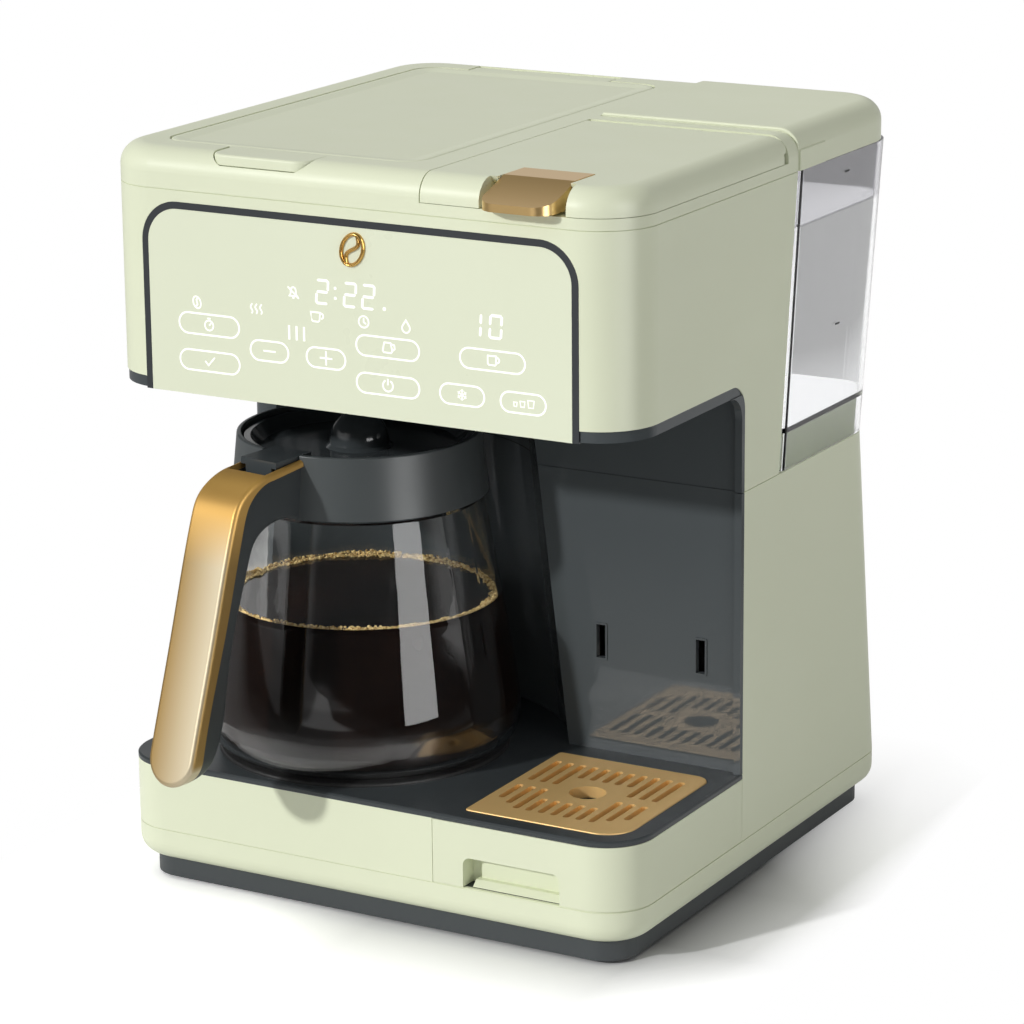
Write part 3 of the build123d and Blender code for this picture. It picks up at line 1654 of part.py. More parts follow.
boss_width = lever_width - 2 * lever_ear
with BuildPart() as carafe_collar:
    add(collar_cone(0))
    add(
        ring(carafe_centre, (collar_bottom - 1, collar_top + 1),
             glass_neck_radius + collar_inner_clearance, 0),
        mode=Mode.SUBTRACT,
    )
    fillet(carafe_collar.faces().sort_by(Axis.Z)[-1].edges(), 0.8)
    add(
        handle_block((glass_neck_radius - 8, collar_base_radius + 2),
                     (pin_z - 4.6, collar_top + 2), boss_width + 2 * lid_clearance),
        mode=Mode.SUBTRACT,
    )
    add(
        handle_block((glass_neck_radius - 8, collar_base_radius + 2),
                     (collar_top - lever_thickness - 1.5, collar_top + 2),
                     lever_width + 2 * lid_clearance),
        mode=Mode.SUBTRACT,
    )
save(carafe_collar.part, "carafe_collar")

lid_radius = glass_neck_radius + collar_inner_clearance - lid_gap
plug_radius = glass_neck_radius - glass_wall - 2.0
lid_low = neck_top + 0.4
dome_top = lid_low + dome_height + 2.4
dome_foot = lid_low + 5.5
dome_rise = dome_top - dome_foot
with BuildPart() as carafe_lid:
    with BuildSketch(Plane(origin=(0, carafe_y, 0), x_dir=(1, 0, 0), z_dir=(0, -1, 0))):
        with BuildLine():
            Polyline(
                (carafe_x, lid_low + 1.2),
                (carafe_x + plug_radius - 2.5, lid_low + 1.2),
                (carafe_x + plug_radius - 2.5, lid_low - 5.0),
                (carafe_x + plug_radius, lid_low - 5.0),
                (carafe_x + plug_radius, lid_low),
                (carafe_x + lid_radius, lid_low),
                (carafe_x + lid_radius, collar_top - 2.2),
                (carafe_x + lid_radius - 3.0, collar_top - 2.2),
                (carafe_x + lid_radius - 8.0, lid_low + 4.6),
                (carafe_x + dome_radius + 2.0, lid_low + 3.8),
                (carafe_x + dome_radius, dome_foot),
            )
            Spline(
                (carafe_x + dome_radius, dome_foot),
                (carafe_x + dome_radius * 0.96, dome_foot + dome_rise * 0.30),
                (carafe_x + dome_radius * 0.80, dome_foot + dome_rise * 0.63),
                (carafe_x + dome_radius * 0.48, dome_foot + dome_rise * 0.90),
                (carafe_x, dome_top),
                tangents=((0, 1), (-1, 0)),
            )
            Line((carafe_x, dome_top), (carafe_x, lid_low + 1.2))
        make_face()
    revolve(axis=Axis((carafe_x, carafe_y, 0), (0, 0, 1)))
    hollows = ((dome_radius - 2.4, dome_foot + 2), (dome_radius - 6, dome_top - 5.5))
    for hollow_radius, hollow_top in hollows:
        add(ring(carafe_centre, (lid_low - 1, hollow_top), hollow_radius, 0), mode=Mode.SUBTRACT)
    add(ring(carafe_centre, (dome_top - 7, dome_top + 1), lid_inlet_radius, 0), mode=Mode.SUBTRACT)
    add(
        handle_block((lid_radius - 7, lid_pin_reach + 3.2), (pin_z - 3.0, collar_top - 1.5), boss_width)
    )
    add(
        handle_block((lid_radius - 7, lever_reach),
                     (collar_top - lever_thickness - 0.3, collar_top - 0.3), lever_width)
    )
    add(
        handle_block((lever_reach - 2.6, lever_reach),
                     (collar_top - lever_thickness - 4.5, collar_top - 0.3), lever_width - 6)
    )
    add(handle_rod(lid_pin_reach, pin_z, lid_pin_radius + running_gap, 3 * handle_width),
        mode=Mode.SUBTRACT)
save(carafe_lid.part, "carafe_lid")

with BuildPart() as carafe_lid_pin:
    add(handle_rod(lid_pin_reach, pin_z, lid_pin_radius, handle_core_width - 3.6))
save(carafe_lid_pin.part, "carafe_lid_pin")

# Handle: dark core against the collar and a gold cover over its outside

handle_tip = (handle_reach, glass_z + handle_tip_rise)
handle_drop = collar_top - handle_tip[1]
outer_line = (
    (collar_top_radius - 8.0, collar_top - 1.4),
    (81.0, collar_top - 4.0),
    (98.0, collar_top - 8.6),
    (104.8, collar_top - 14.0),
    (109.4, collar_top - 23.4),
    (handle_reach - 22.4, collar_top - 0.5 * handle_drop),
    (handle_tip[0] - 4.7, handle_tip[1] + 15.5),
    handle_tip,
)
split_line = (
    (collar_top_radius - 8.0, collar_top - 4.4),
    (80.0, collar_top - 7.2),
    (92.6, collar_top - 11.0),
    (98.4, collar_top - 16.6),
    (102.2, collar_top - 25.4),
    (handle_reach - 29.8, collar_top - 0.514 * handle_drop),
    (handle_tip[0] - 12.0, handle_tip[1] + 15.0),
    (handle_tip[0] - 9.0, handle_tip[1]),
)
inner_line = (
    (collar_top_radius - 8.0, collar_top - 30.6),
    (collar_base_radius, collar_top - 30.6),
    (83.0, collar_top - 29.4),
    (92.6, collar_top - 34.8),
    (97.8, collar_top - 45.0),
    (handle_reach - 33.2, collar_top - 0.65 * handle_drop),
    (handle_tip[0] - 25.6, handle_tip[1] + 19.0),
    (handle_tip[0] - 11.0, handle_tip[1] + 1.0),
)


def handle_slab(outer, inner, width):
    """Prism between two lines in the plane of the handle."""
    with BuildPart() as solid:
        with BuildSketch(handle_plane.offset(-width / 2)):
            with BuildLine():
                Spline(*outer[1:])
                Line(outer[0], outer[1])
                Line(outer[-1], inner[-1])
                Spline(*inner[1:])
                Line(inner[0], inner[1])
                Line(inner[0], outer[0])
            make_face()
        extrude(amount=width)
    return solid.part


handle_front_plane = Plane(
    origin=(carafe_x, carafe_y, 0),
    x_dir=(-sin(radians(handle_angle)), cos(radians(handle_angle)), 0),
    z_dir=(cos(radians(handle_angle)), sin(radians(handle_angle)), 0),
)


def handle_front(width):
    """Prism of the handle seen from the front, with a round lower end."""
    round_z = handle_tip[1] + width / 2
    with BuildPart() as solid:
        with BuildSketch(handle_front_plane):
            with Locations((0, round_z)):
                Circle(width / 2)
            with Locations((0, (round_z + collar_top + 5) / 2)):
                Rectangle(width, collar_top + 5 - round_z)
        extrude(amount=handle_reach + 10)
    return solid.part


def handle_sides(faces):
    """Curved faces along the handle, from the inner to the outer one."""
    outwards = Axis((carafe_x, carafe_y, 0), handle_plane.x_dir)
    return faces.filter_by(GeomType.EXTRUSION).sort_by(outwards)


lever_slot_width = lever_width + 2 * lid_clearance + 0.2
with BuildPart() as handle_core:
    add(handle_slab(split_line, inner_line, handle_core_width))
    add(handle_front(handle_core_width), mode=Mode.INTERSECT)
    fillet(handle_sides(handle_core.faces())[0].edges(), core_edge_radius)
    add(collar_cone(0), mode=Mode.SUBTRACT)
    add(ring(carafe_centre, (collar_bottom - 2, collar_top + 5), collar_top_radius, 0), mode=Mode.SUBTRACT)
    add(
        handle_block((collar_top_radius - 9, lever_slot_end),
                     (pin_z - 5.4, collar_top + 1), boss_width + 2 * lid_clearance),
        mode=Mode.SUBTRACT,
    )
    add(
        handle_block((lid_pin_reach + 3.4, lever_slot_end), (pin_z - 5.4, collar_top + 1),
                     lever_slot_width),
        mode=Mode.SUBTRACT,
    )
    add(
        handle_block((collar_top_radius - 9, lever_slot_end),
                     (collar_top - lever_thickness - 1.6, collar_top + 1), lever_slot_width),
        mode=Mode.SUBTRACT,
    )
    add(handle_rod(lid_pin_reach, pin_z, lid_pin_radius, handle_core_width - 3.6), mode=Mode.SUBTRACT)
save(handle_core.part, "handle_core")

with BuildPart() as handle_cover:
    add(handle_slab(outer_line, split_line, handle_width))
    add(handle_front(handle_width), mode=Mode.INTERSECT)
    fillet(handle_sides(handle_cover.faces())[-1].edges(), cover_edge_radius)
    add(collar_cone(0), mode=Mode.SUBTRACT)
    add(ring(carafe_centre, (collar_bottom - 2, collar_top + 5), collar_top_radius, 0), mode=Mode.SUBTRACT)
    add(
        handle_block((collar_top_radius - 9, lever_slot_end), (pin_z - 5.4, collar_top + 3),
                     lever_slot_width),
        mode=Mode.SUBTRACT,
    )
save(handle_cover.part, "handle_cover")

# Control panel with its trim, touch board and display

panel_bottom = liner_bottom - panel_below_liner
panel_top = panel_bottom + panel_height


def panel_outline(depth, grow, low):
    """Panel outline on a plane at a depth behind the front, square at the bottom."""
    half = panel_width / 2 + grow
    with BuildSketch(Plane.XZ.offset(-front_y - depth)) as shape:
        with Locations((0, (low + panel_top + grow) / 2)):
            Rectangle(2 * half, panel_top + grow - low)
        fillet(shape.vertices().sort_by(Axis.Y)[-2:], panel_top_corner + grow)
    return shape.sketch


frame_front = panel_thickness + 0.3
frame_back = frame_front + 1.6
with BuildPart() as panel_trim_piece:
    extrude(panel_outline(0, panel_trim - 0.1, panel_bottom), amount=-frame_back)
    extrude(panel_outline(frame_front, panel_frame_band, hood_bottom + 0.3),
            amount=-(frame_back - frame_front))
    extrude(panel_outline(-1, 0.1, panel_bottom - 1), amount=-(panel_thickness + 1), mode=Mode.SUBTRACT)
    extrude(panel_outline(-1, -panel_frame_band, panel_bottom - 1), amount=-(frame_back + 2),
            mode=Mode.SUBTRACT)
    add(
        block(
            (-half_width, half_width),
            (front_y + panel_thickness, front_y + frame_back + 1),
            (panel_bottom - 1, hood_bottom + 0.3),
        ),
        mode=Mode.SUBTRACT,
    )
save(panel_trim_piece.part, "panel_trim")

with BuildPart() as control_panel:
    extrude(panel_outline(0, 0, panel_bottom), amount=-panel_thickness)
save(control_panel.part, "control_panel")

board_y = front_y + panel_thickness + board_standoff
board_z = (hood_bottom + 6, panel_top - panel_frame_band - 4)
with BuildPart() as touch_board:
    add(
        block(
            (-panel_width / 2 + 14, panel_width / 2 - 14),
            (board_y, board_y + board_thickness),
            board_z,
        )
    )
    for x in (-panel_width / 2 + 20, panel_width / 2 - 20):
        for z in (board_z[0] + 5, board_z[1] - 5):
            with BuildSketch(Plane.XZ.offset(-front_y - panel_thickness)):
                with Locations((x, z)):
                    Circle(2.5)
            extrude(amount=-board_standoff)
save(touch_board.part, "touch_board")

with BuildPart() as display_module:
    add(
        block(
            (display_centre_x - display_width / 2, display_centre_x + display_width / 2),
            (front_y + panel_thickness + 0.2, board_y),
            (panel_bottom + display_rise, panel_bottom + display_rise + display_height),
        )
    )
save(display_module.part, "display_module")

# Brew chamber with the filter basket and its drip stop

chamber_ledge_z = liner_floor_top + basket_depth + 0.4
with BuildPart() as brew_chamber:
    add(ring(carafe_centre, (liner_floor_top, chamber_ledge_z + 4.0), chamber_radius,
             chamber_radius - chamber_wall))
    add(ring(carafe_centre, (chamber_ledge_z - 3.0, chamber_ledge_z), chamber_radius - 0.5,
             basket_top_radius + 1.2))
save(brew_chamber.part, "brew_chamber")

basket_low = chamber_ledge_z - basket_depth
flange_radius = chamber_radius - chamber_wall - 1.8
spout_low = basket_low - basket_spout_drop
with BuildPart() as brew_basket:
    add(
        turned(
            carafe_centre,
            [
                (0, spout_low),
                (basket_spout_radius, spout_low),
                (basket_spout_radius, basket_low),
                (basket_floor_radius, basket_low),
                (basket_top_radius, chamber_ledge_z),
                (flange_radius, chamber_ledge_z),
                (flange_radius, chamber_ledge_z + 2.0),
                (0, chamber_ledge_z + 2.0),
            ],
        )
    )
    add(
        turned(
            carafe_centre,
            [
                (0, spout_low + basket_wall),
                (basket_spout_radius - basket_wall, spout_low + basket_wall),
                (basket_spout_radius - basket_wall, basket_low + basket_wall),
                (basket_floor_radius - basket_wall, basket_low + basket_wall),
                (basket_top_radius - basket_wall, chamber_ledge_z + 3.0),
                (0, chamber_ledge_z + 3.0),
            ],
        ),
        mode=Mode.SUBTRACT,
    )
    add(ring(carafe_centre, (spout_low - 1, spout_low + basket_wall + 1), stop_stem_radius + 0.3, 0),
        mode=Mode.SUBTRACT)
save(brew_basket.part, "brew_basket")

stop_seat_z = spout_low + basket_wall
stop_nose_z = spout_low - stop_nose_drop
stop_head_radius = basket_spout_radius - basket_wall - 0.5
with BuildPart() as drip_stop:
    add(
        turned(
            carafe_centre,
            [
                (0, stop_nose_z),
                (stop_stem_radius, stop_nose_z),
                (stop_stem_radius, stop_seat_z + 0.1),
                (stop_head_radius, stop_seat_z + 0.1),
                (stop_head_radius, stop_seat_z + 2.6),
                (0, stop_seat_z + 2.6),
            ],
        )
    )
save(drip_stop.part, "drip_stop")

# Pod holder in its carrier, with the lower needle and the spout

pod_centre = (pod_x, pod_y)
holder_top = pod_seam + 2.0
holder_low = holder_top - pod_holder_depth
carrier_top = pod_floor_z
carrier_low = holder_low - 7.0
with BuildPart() as pod_holder:
    add(ring(pod_centre, (pod_seam, holder_top), pod_holder_radius + 5.0, 0))
    add(ring(pod_centre, (holder_low, pod_seam), pod_holder_radius, 0))
    add(ring(pod_centre, (holder_low + pod_holder_wall, holder_top + 1),
             pod_holder_radius - pod_holder_wall, 0), mode=Mode.SUBTRACT)
    add(ring(pod_centre, (holder_low - 1, holder_low + 3), 6.0, 0), mode=Mode.SUBTRACT)
save(pod_holder.part, "pod_holder")

with BuildPart() as pod_carrier:
    add(ring(pod_centre, (carrier_low, carrier_top), pod_carrier_radius, 0))
    add(ring(pod_centre, (carrier_low + pod_holder_wall, carrier_top + 1),
             pod_carrier_radius - pod_holder_wall, 0), mode=Mode.SUBTRACT)
    add(ring(pod_centre, (liner_bottom - 6, carrier_low), spout_radius, 0))
    add(ring(pod_centre, (liner_bottom - 7, carrier_low + 5), spout_radius - 2, 0), mode=Mode.SUBTRACT)
save(pod_carrier.part, "pod_carrier")

with BuildPart() as lower_needle:
    with BuildSketch(Plane.XY.offset(carrier_low + pod_holder_wall)):
        with Locations(pod_centre):
            Rectangle(2 * spout_radius + 4, 3)
            Circle(4.0)
    extrude(amount=1.5)
    add(turned(pod_centre, [(0, carrier_low + 3.5), (needle_radius, carrier_low + 3.5),
                            (needle_radius, holder_low + 8), (0, holder_low + 12)]))
save(lower_needle.part, "lower_needle")

# Boiler, pump and hoses

boiler_x = -half_width + boiler_side
boiler_y = rear_y - boiler_rear
boiler_top = chassis_top + boiler_height
with BuildPart() as boiler:
    add(ring((boiler_x, boiler_y), (chassis_top, boiler_top), boiler_radius, 0))
    fillet(boiler.faces().sort_by(Axis.Z)[-1].edges(), 6.0)
    add(ring((boiler_x, boiler_y), (boiler_top - 1, boiler_top + 6), hose_bore + 1.2, 0))
    add(ring((boiler_x, boiler_y), (chassis_top, chassis_top + 3), boiler_radius + 5, 0))
save(boiler.part, "boiler")

pump_x = half_width - pump_side
pump_y = recess_back_y + pump_gap + pump_radius + pump_band
pump_top = chassis_top + pump_length
with BuildPart() as pump:
    add(ring((pump_x, pump_y), (chassis_top, pump_top), pump_radius, 0))
    add(ring((pump_x, pump_y), (chassis_top + 20, pump_top - 14), pump_radius + pump_band, 0))
    fillet(pump.faces().sort_by(Axis.Z)[-1].edges(), 4.0)
    add(ring((pump_x, pump_y), (pump_top - 1, pump_top + 8), hose_bore + 1.2, 0))
save(pump.part, "pump")


def hose(points, bend):
    """Soft tube along a bent path."""
    with BuildPart() as tube:
        with BuildLine() as path:
            FilletPolyline(*points, radius=bend)
        with BuildSketch(Plane(origin=points[0], z_dir=(path.line % 0))):
            Circle(hose_radius)
            Circle(hose_bore, mode=Mode.SUBTRACT)
        sweep(path=path.line)
    return tube.part


seal_low = pedestal_top - 10
with BuildPart() as feed_hose:
    add(
        hose(
            [
                (tank_valve_x, tank_valve_y, seal_low),
                (tank_valve_x, tank_valve_y, seal_low - 40),
                (pump_x, pump_y, pump_top + 40),
                (pump_x, pump_y, pump_top + 8),
            ],
            12,
        )
    )
save(feed_hose.part, "feed_hose")

hose_top = chamber_ledge_z - 12
with BuildPart() as hot_hose:
    add(
        hose(
            [
                (boiler_x, boiler_y, boiler_top + 6),
                (boiler_x, boiler_y, hose_top),
                (boiler_x, carafe_y + chamber_radius + 4, hose_top),
            ],
            18,
        )
    )
save(hot_hose.part, "hot_hose")

board_low = chassis_top + board_height
board_span_x = (boiler_x + boiler_radius + board_gap_left, pump_x - pump_radius - board_gap_right)
board_span_y = (recess_back_y + board_gap_front, rear_y - board_gap_rear)


def board_block(x_shares, y_shares, height):
    """Block on the power board, placed by shares of the board's sides."""
    return block(
        (between(*board_span_x, x_shares[0]), between(*board_span_x, x_shares[1])),
        (between(*board_span_y, y_shares[0]), between(*board_span_y, y_shares[1])),
        (board_low + board_thickness, board_low + board_thickness + height),
    )


with BuildPart() as power_board:
    add(block(board_span_x, board_span_y, (board_low, board_low + board_thickness)))
    add(board_block((0.125, 0.4), (0.13, 0.5), board_coil_height))
    add(board_block((0.55, 0.875), (0.4, 0.73), board_relay_height))
    for x in (board_span_x[0] + 5, board_span_x[1] - 5):
        for y in (board_span_y[0] + 5, board_span_y[1] - 5):
            add(ring((x, y), (chassis_top, board_low), 3.0, 0))
save(power_board.part, "power_board")

# Cable entry in the rear wall

entry_plane = Plane(origin=(inlet_x, base_rear_y - 9, inlet_z), x_dir=(-1, 0, 0), z_dir=(0, 1, 0))
with BuildPart() as cable_gland:
    with BuildSketch(entry_plane):
        Circle(inlet_radius)
        Circle(inlet_radius - 4, mode=Mode.SUBTRACT)
    extrude(amount=9 + base_rear_inset)
save(cable_gland.part, "cable_gland")
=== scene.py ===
"""Looks of the two-way coffee maker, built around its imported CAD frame."""

import logging
import math
import random
from dataclasses import dataclass, field
from enum import Enum
from typing import Callable, Iterable, Sequence

import bmesh
import bpy
from mathutils import Matrix, Vector


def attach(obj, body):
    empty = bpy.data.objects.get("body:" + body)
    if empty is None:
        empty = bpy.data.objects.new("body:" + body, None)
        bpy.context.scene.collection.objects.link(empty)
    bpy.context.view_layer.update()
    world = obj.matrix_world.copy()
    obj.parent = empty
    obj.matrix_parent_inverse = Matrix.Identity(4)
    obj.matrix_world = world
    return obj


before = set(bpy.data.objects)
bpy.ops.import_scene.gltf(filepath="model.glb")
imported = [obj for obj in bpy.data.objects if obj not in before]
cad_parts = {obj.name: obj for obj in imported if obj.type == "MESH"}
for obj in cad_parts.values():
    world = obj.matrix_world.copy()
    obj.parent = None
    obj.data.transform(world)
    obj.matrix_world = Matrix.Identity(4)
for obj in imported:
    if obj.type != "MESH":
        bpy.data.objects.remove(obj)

log = logging.getLogger("coffee_maker")
MM = 0.001
CARAFE_AXIS = (-46.6, -69.4)
HANDLE_SIDE = (0.990268, -0.139173, 0.0)
HANDLE_MIDDLE = CARAFE_AXIS[0] * HANDLE_SIDE[0] + CARAFE_AXIS[1] * HANDLE_SIDE[1]
# Where the painted highlight on the handle's cover rises and falls across it, and the heights over
# which the painted deeper gold of its bend comes in, in millimetres.
HIGHLIGHT_RISE = (-13.0, 10.0)
HIGHLIGHT_FALL = (12.8, 13.8)
BEND_HEIGHTS = (182.0, 206.0)
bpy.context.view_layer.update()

Point2 = tuple[float, float]
Point3 = tuple[float, float, float]
Colour = tuple[float, float, float, float]
Box = tuple[float, float, float, float]
# Where a ramp starts and ends, and its value at each of them.
Ramp = tuple[float, float, float, float]
Face = tuple[int, ...]
Socket = bpy.types.NodeSocket
Node = bpy.types.Node
Outputs = bpy.types.NodeOutputs
Thing = bpy.types.Object


def tone(red: float, green: float, blue: float) -> Colour:
    """Turn a colour from 0 to 255 into the linear colour that shaders take.

    Args:
        red, green, blue: the colour as a screen shows it, 0 to 255.

    Returns:
        The same colour as four linear numbers, with a full alpha.
    """
    shares = (value / 255 for value in (red, green, blue))
    linear = (share / 12.92 if share <= 0.04045 else ((share + 0.055) / 1.055) ** 2.4
              for share in shares)
    return *linear, 1.0


# Shader building


class Wiring:
    """A small helper that adds and joins nodes in one node tree."""

    def __init__(self, tree: bpy.types.NodeTree) -> None:
        """Empty the tree that the nodes go into."""
        self.tree = tree
        tree.nodes.clear()

    def add(self, kind: str, inputs: dict[str | int, object] | None = None,
            **settings: object) -> Node:
        """Add a node, set its plain properties and feed its inputs.

        Args:
            kind: the node's type name without the ShaderNode part.
            inputs: sockets, numbers or colours, by the input's name or place.
            settings: properties of the node itself.

        Returns:
            The new node.
        """
        node = self.tree.nodes.new("ShaderNode" + kind)
        for name, value in settings.items():
            setattr(node, name, value)
        for place, value in (inputs or {}).items():
            self.put(node, place, value)
        return node

    def put(self, node: Node, place: str | int, value: object) -> None:
        """Join an output to an input, or set the input to a plain value.

        Args:
            node: the node that takes the value.
            place: the input's name or place.
            value: an output socket, or a number or colour.
        """
        if isinstance(value, Socket):
            self.tree.links.new(value, node.inputs[place])
        else:
            node.inputs[place].default_value = value

    def sum(self, kind: str, first: object, second: object = 0.0, third: object = 0.0,
            clamp: bool = False) -> Socket:
        """Add a math node.

        Args:
            kind: the math operation.
            first, second, third: its inputs, sockets or numbers.
            clamp: whether the result is held between 0 and 1.

        Returns:
            The result's socket.
        """
        values = {0: first, 1: second, 2: third}
        return self.add("Math", values, operation=kind, use_clamp=clamp).outputs[0]

    def times(self, first: object, second: object) -> Socket:
        """Multiply two values."""
        return self.sum("MULTIPLY", first, second)

    def most(self, first: object, second: object) -> Socket:
        """Give the larger of two values."""
        return self.sum("MAXIMUM", first, second)

    def mix(self, share: object, first: object, second: object) -> Socket:
        """Blend two colours.

        Args:
            share: how much of the second colour shows.
            first, second: the two colours.

        Returns:
            The blended colour's socket.
        """
        return self.add("Mix", {0: share, 6: first, 7: second}, data_type="RGBA").outputs[2]

    def scaled(self, colour: object, factor: object) -> Socket:
        """Make a colour lighter or darker by a factor."""
        return self.add("VectorMath", {0: colour, "Scale": factor}, operation="SCALE").outputs[0]

    def spread(self, value: object, low: float, high: float, new_low: float = 0.0,
               new_high: float = 1.0) -> Socket:
        """Stretch a range of values to another range.

        Args:
            value: the value's socket.
            low, high: the range that it has.
            new_low, new_high: the range that it gets.

        Returns:
            The stretched value's socket.
        """
        values = dict(enumerate((value, low, high, new_low, new_high)))
        return self.add("MapRange", values).outputs[0]

    def swing(self, noise: object) -> Socket:
        """Stretch a noise to about -1 to 1."""
        return self.spread(noise, 0.3, 0.7, -1.0, 1.0)

    def noise(self, where: object, scale: object, detail: float = 3.0,
              roughness: float = 0.5) -> Socket:
        """Add a noise texture and give its value.

        Args:
            where: the position's socket.
            scale: features in each metre.
            detail, roughness: how fine the noise goes.

        Returns:
            The noise's value socket.
        """
        return self.add("TexNoise", {"Vector": where, "Scale": scale, "Detail": detail,
                                     "Roughness": roughness}).outputs[0]

    def where(self) -> Socket:
        """Give the place on the object, in its own coordinates."""
        return self.add("TexCoord").outputs["Object"]

    def parts(self, place: object) -> list[Socket]:
        """Give the X, Y and Z of a place or direction."""
        return list(self.add("SeparateXYZ", {0: place}).outputs)

    def raised(self, height: object, depth: float, strength: float = 0.5) -> Socket:
        """Turn a height into a normal.

        Args:
            height: the height's socket, 0 to 1.
            depth: how deep the relief is, in millimetres.
            strength: how much of it shows.

        Returns:
            The normal's socket.
        """
        return self.add("Bump", {"Strength": strength, "Distance": depth * MM,
                                 "Height": height}).outputs[0]


class EffectGroup:
    """A shader node group that several finishes share."""

    made: dict[str, bpy.types.NodeTree] = {}

    @classmethod
    def build(cls, fill: Callable[[Wiring, Outputs], dict[str, Socket]],
              inputs: dict[str, object]) -> None:
        """Make the group once, named after the function that fills it.

        Args:
            fill: what adds the nodes and gives the outputs by name.
            inputs: the name and first value of each input.
        """
        tree = bpy.data.node_groups.new(fill.__name__, "ShaderNodeTree")
        wires = Wiring(tree)
        kinds = {1: "NodeSocketFloat", 3: "NodeSocketVector", 4: "NodeSocketColor"}
        for label, value in inputs.items():
            kind = kinds[1 if isinstance(value, float) else len(value)]
            socket = tree.interface.new_socket(name=label, in_out="INPUT", socket_type=kind)
            socket.default_value = value
        results = fill(wires, tree.nodes.new("NodeGroupInput").outputs)
        for label in results:
            kind = kinds[4 if label == "Colour" else 1]
            tree.interface.new_socket(name=label, in_out="OUTPUT", socket_type=kind)
        end = tree.nodes.new("NodeGroupOutput")
        for label, value in results.items():
            wires.put(end, label, value)
        cls.made[fill.__name__] = tree

    @classmethod
    def place(cls, wires: Wiring, name: str, **values: object) -> Outputs:
        """Put the group into a material.

        Args:
            wires: the material's wiring.
            name: the group's name.
            values: the values of its inputs, with _ for a space.

        Returns:
            The group's outputs.
        """
        inputs = {label.replace("_", " "): value for label, value in values.items()}
        return wires.add("Group", inputs, node_tree=cls.made[name]).outputs


def moulded_skin(wires: Wiring, given: Outputs) -> dict[str, Socket]:
    """Moulded plastic: faint cloudy shade, a fine spark texture and patchy gloss.

    Args:
        wires: the group's wiring.
        given: the group's inputs.

    Returns:
        The group's outputs.
    """
    where = wires.where()
    cloud = wires.swing(wires.noise(where, 9.0, 2.0))
    patch = wires.swing(wires.noise(where, 38.0))
    darker = wires.sum("MULTIPLY_ADD", cloud, given["Variation"], 1.0)
    spread = wires.times(patch, given["Gloss Spread"])
    return {"Colour": wires.scaled(given["Colour"], darker),
            "Roughness": wires.sum("ADD", given["Roughness"], spread, clamp=True),
            "Height": wires.noise(where, given["Grain Scale"], 2.0, 0.6)}


def brushed_lines(wires: Wiring, given: Outputs) -> dict[str, Socket]:
    """Fine lines of brushed metal along one direction.

    Args:
        wires: the group's wiring.
        given: the group's inputs.

    Returns:
        The group's outputs.
    """
    where = wires.where()
    stretched = wires.add("Mapping", {"Vector": where, "Scale": given["Stretch"]}).outputs[0]
    lines = wires.noise(stretched, given["Line Scale"], 4.0, 0.65)
    streak = wires.swing(lines)
    cloud = wires.swing(wires.noise(where, 26.0, 2.0))
    shade = wires.sum("MULTIPLY_ADD", streak, 0.6, wires.times(cloud, 0.4))
    factor = wires.sum("MULTIPLY_ADD", shade, given["Variation"], 1.0)
    rough = wires.sum("MULTIPLY_ADD", streak, given["Gloss Spread"], given["Roughness"])
    return {"Colour": wires.scaled(given["Colour"], factor),
            "Roughness": wires.most(rough, 0.04), "Height": lines}


def settled_dust(wires: Wiring, given: Outputs) -> dict[str, Socket]:
    """A trace of dust on faces that look up, broken up by noise.

    Args:
        wires: the group's wiring.
        given: the group's inputs.

    Returns:
        The group's outputs.
    """
    facing = wires.parts(wires.add("NewGeometry").outputs["Normal"])[2]
    speck = wires.spread(wires.noise(wires.where(), 700.0, 4.0, 0.7), 0.52, 0.75)
    lying = wires.times(wires.spread(facing, 0.4, 1.0), speck)
    return {"Mask": wires.times(lying, given["Amount"])}


def handle_painted_highlight(wires: Wiring, _given: Outputs) -> dict[str, Socket]:
    """A painted highlight down the middle of the handle's cover, fading to its edges, and a painted
    deeper gold over its bend.

    Args:
        wires: the group's wiring.
        _given: the group's inputs, of which it has none; not used.

    Returns:
        The group's outputs.
    """
    where = wires.where()
    across = wires.add("VectorMath", {0: where, 1: HANDLE_SIDE}, operation="DOT_PRODUCT")
    offset = wires.sum("SUBTRACT", across.outputs["Value"], HANDLE_MIDDLE * MM)
    rise = wires.spread(offset, HIGHLIGHT_RISE[0] * MM, HIGHLIGHT_RISE[1] * MM)
    fall = wires.spread(offset, HIGHLIGHT_FALL[0] * MM, HIGHLIGHT_FALL[1] * MM, 1.0, 0.0)
    height = wires.parts(where)[2]
    # Mask places the painted highlight, Bend the painted deeper gold over the bend.
    return {"Mask": wires.times(rise, fall),
            "Bend": wires.spread(height, BEND_HEIGHTS[0] * MM, BEND_HEIGHTS[1] * MM)}


def build_effect_groups() -> None:
    """Make every shared shader group once."""
    shared = {"Colour": (0.5, 0.5, 0.5, 1.0), "Variation": 0.02, "Roughness": 0.4,
              "Gloss Spread": 0.03}
    EffectGroup.build(moulded_skin, shared | {"Grain Scale": 2600.0})
    EffectGroup.build(brushed_lines, shared | {"Stretch": (1.0, 1.0, 1.0), "Line Scale": 900.0})
    EffectGroup.build(settled_dust, {"Amount": 0.05})
    EffectGroup.build(handle_painted_highlight, {})


class Finish:
    """A material that is made the first time it is asked for."""

    name: str

    def material(self) -> bpy.types.Material:
        """Give the finish's material, made once."""
        known = bpy.data.materials.get(self.name)
        if known:
            return known
        made = bpy.data.materials.new(self.name)
        made.use_nodes = True
        wires = Wiring(made.node_tree)
        wires.add("OutputMaterial", {"Surface": self.shader(wires)})
        return made

    def shader(self, wires: Wiring) -> Socket:
        """Build the nodes and give the surface's socket."""
        raise NotImplementedError

    def dress(self, *things: Thing) -> None:
        """Give objects this finish alone."""
        for thing in things:
            thing.data.materials.clear()
            thing.data.materials.append(self.material())


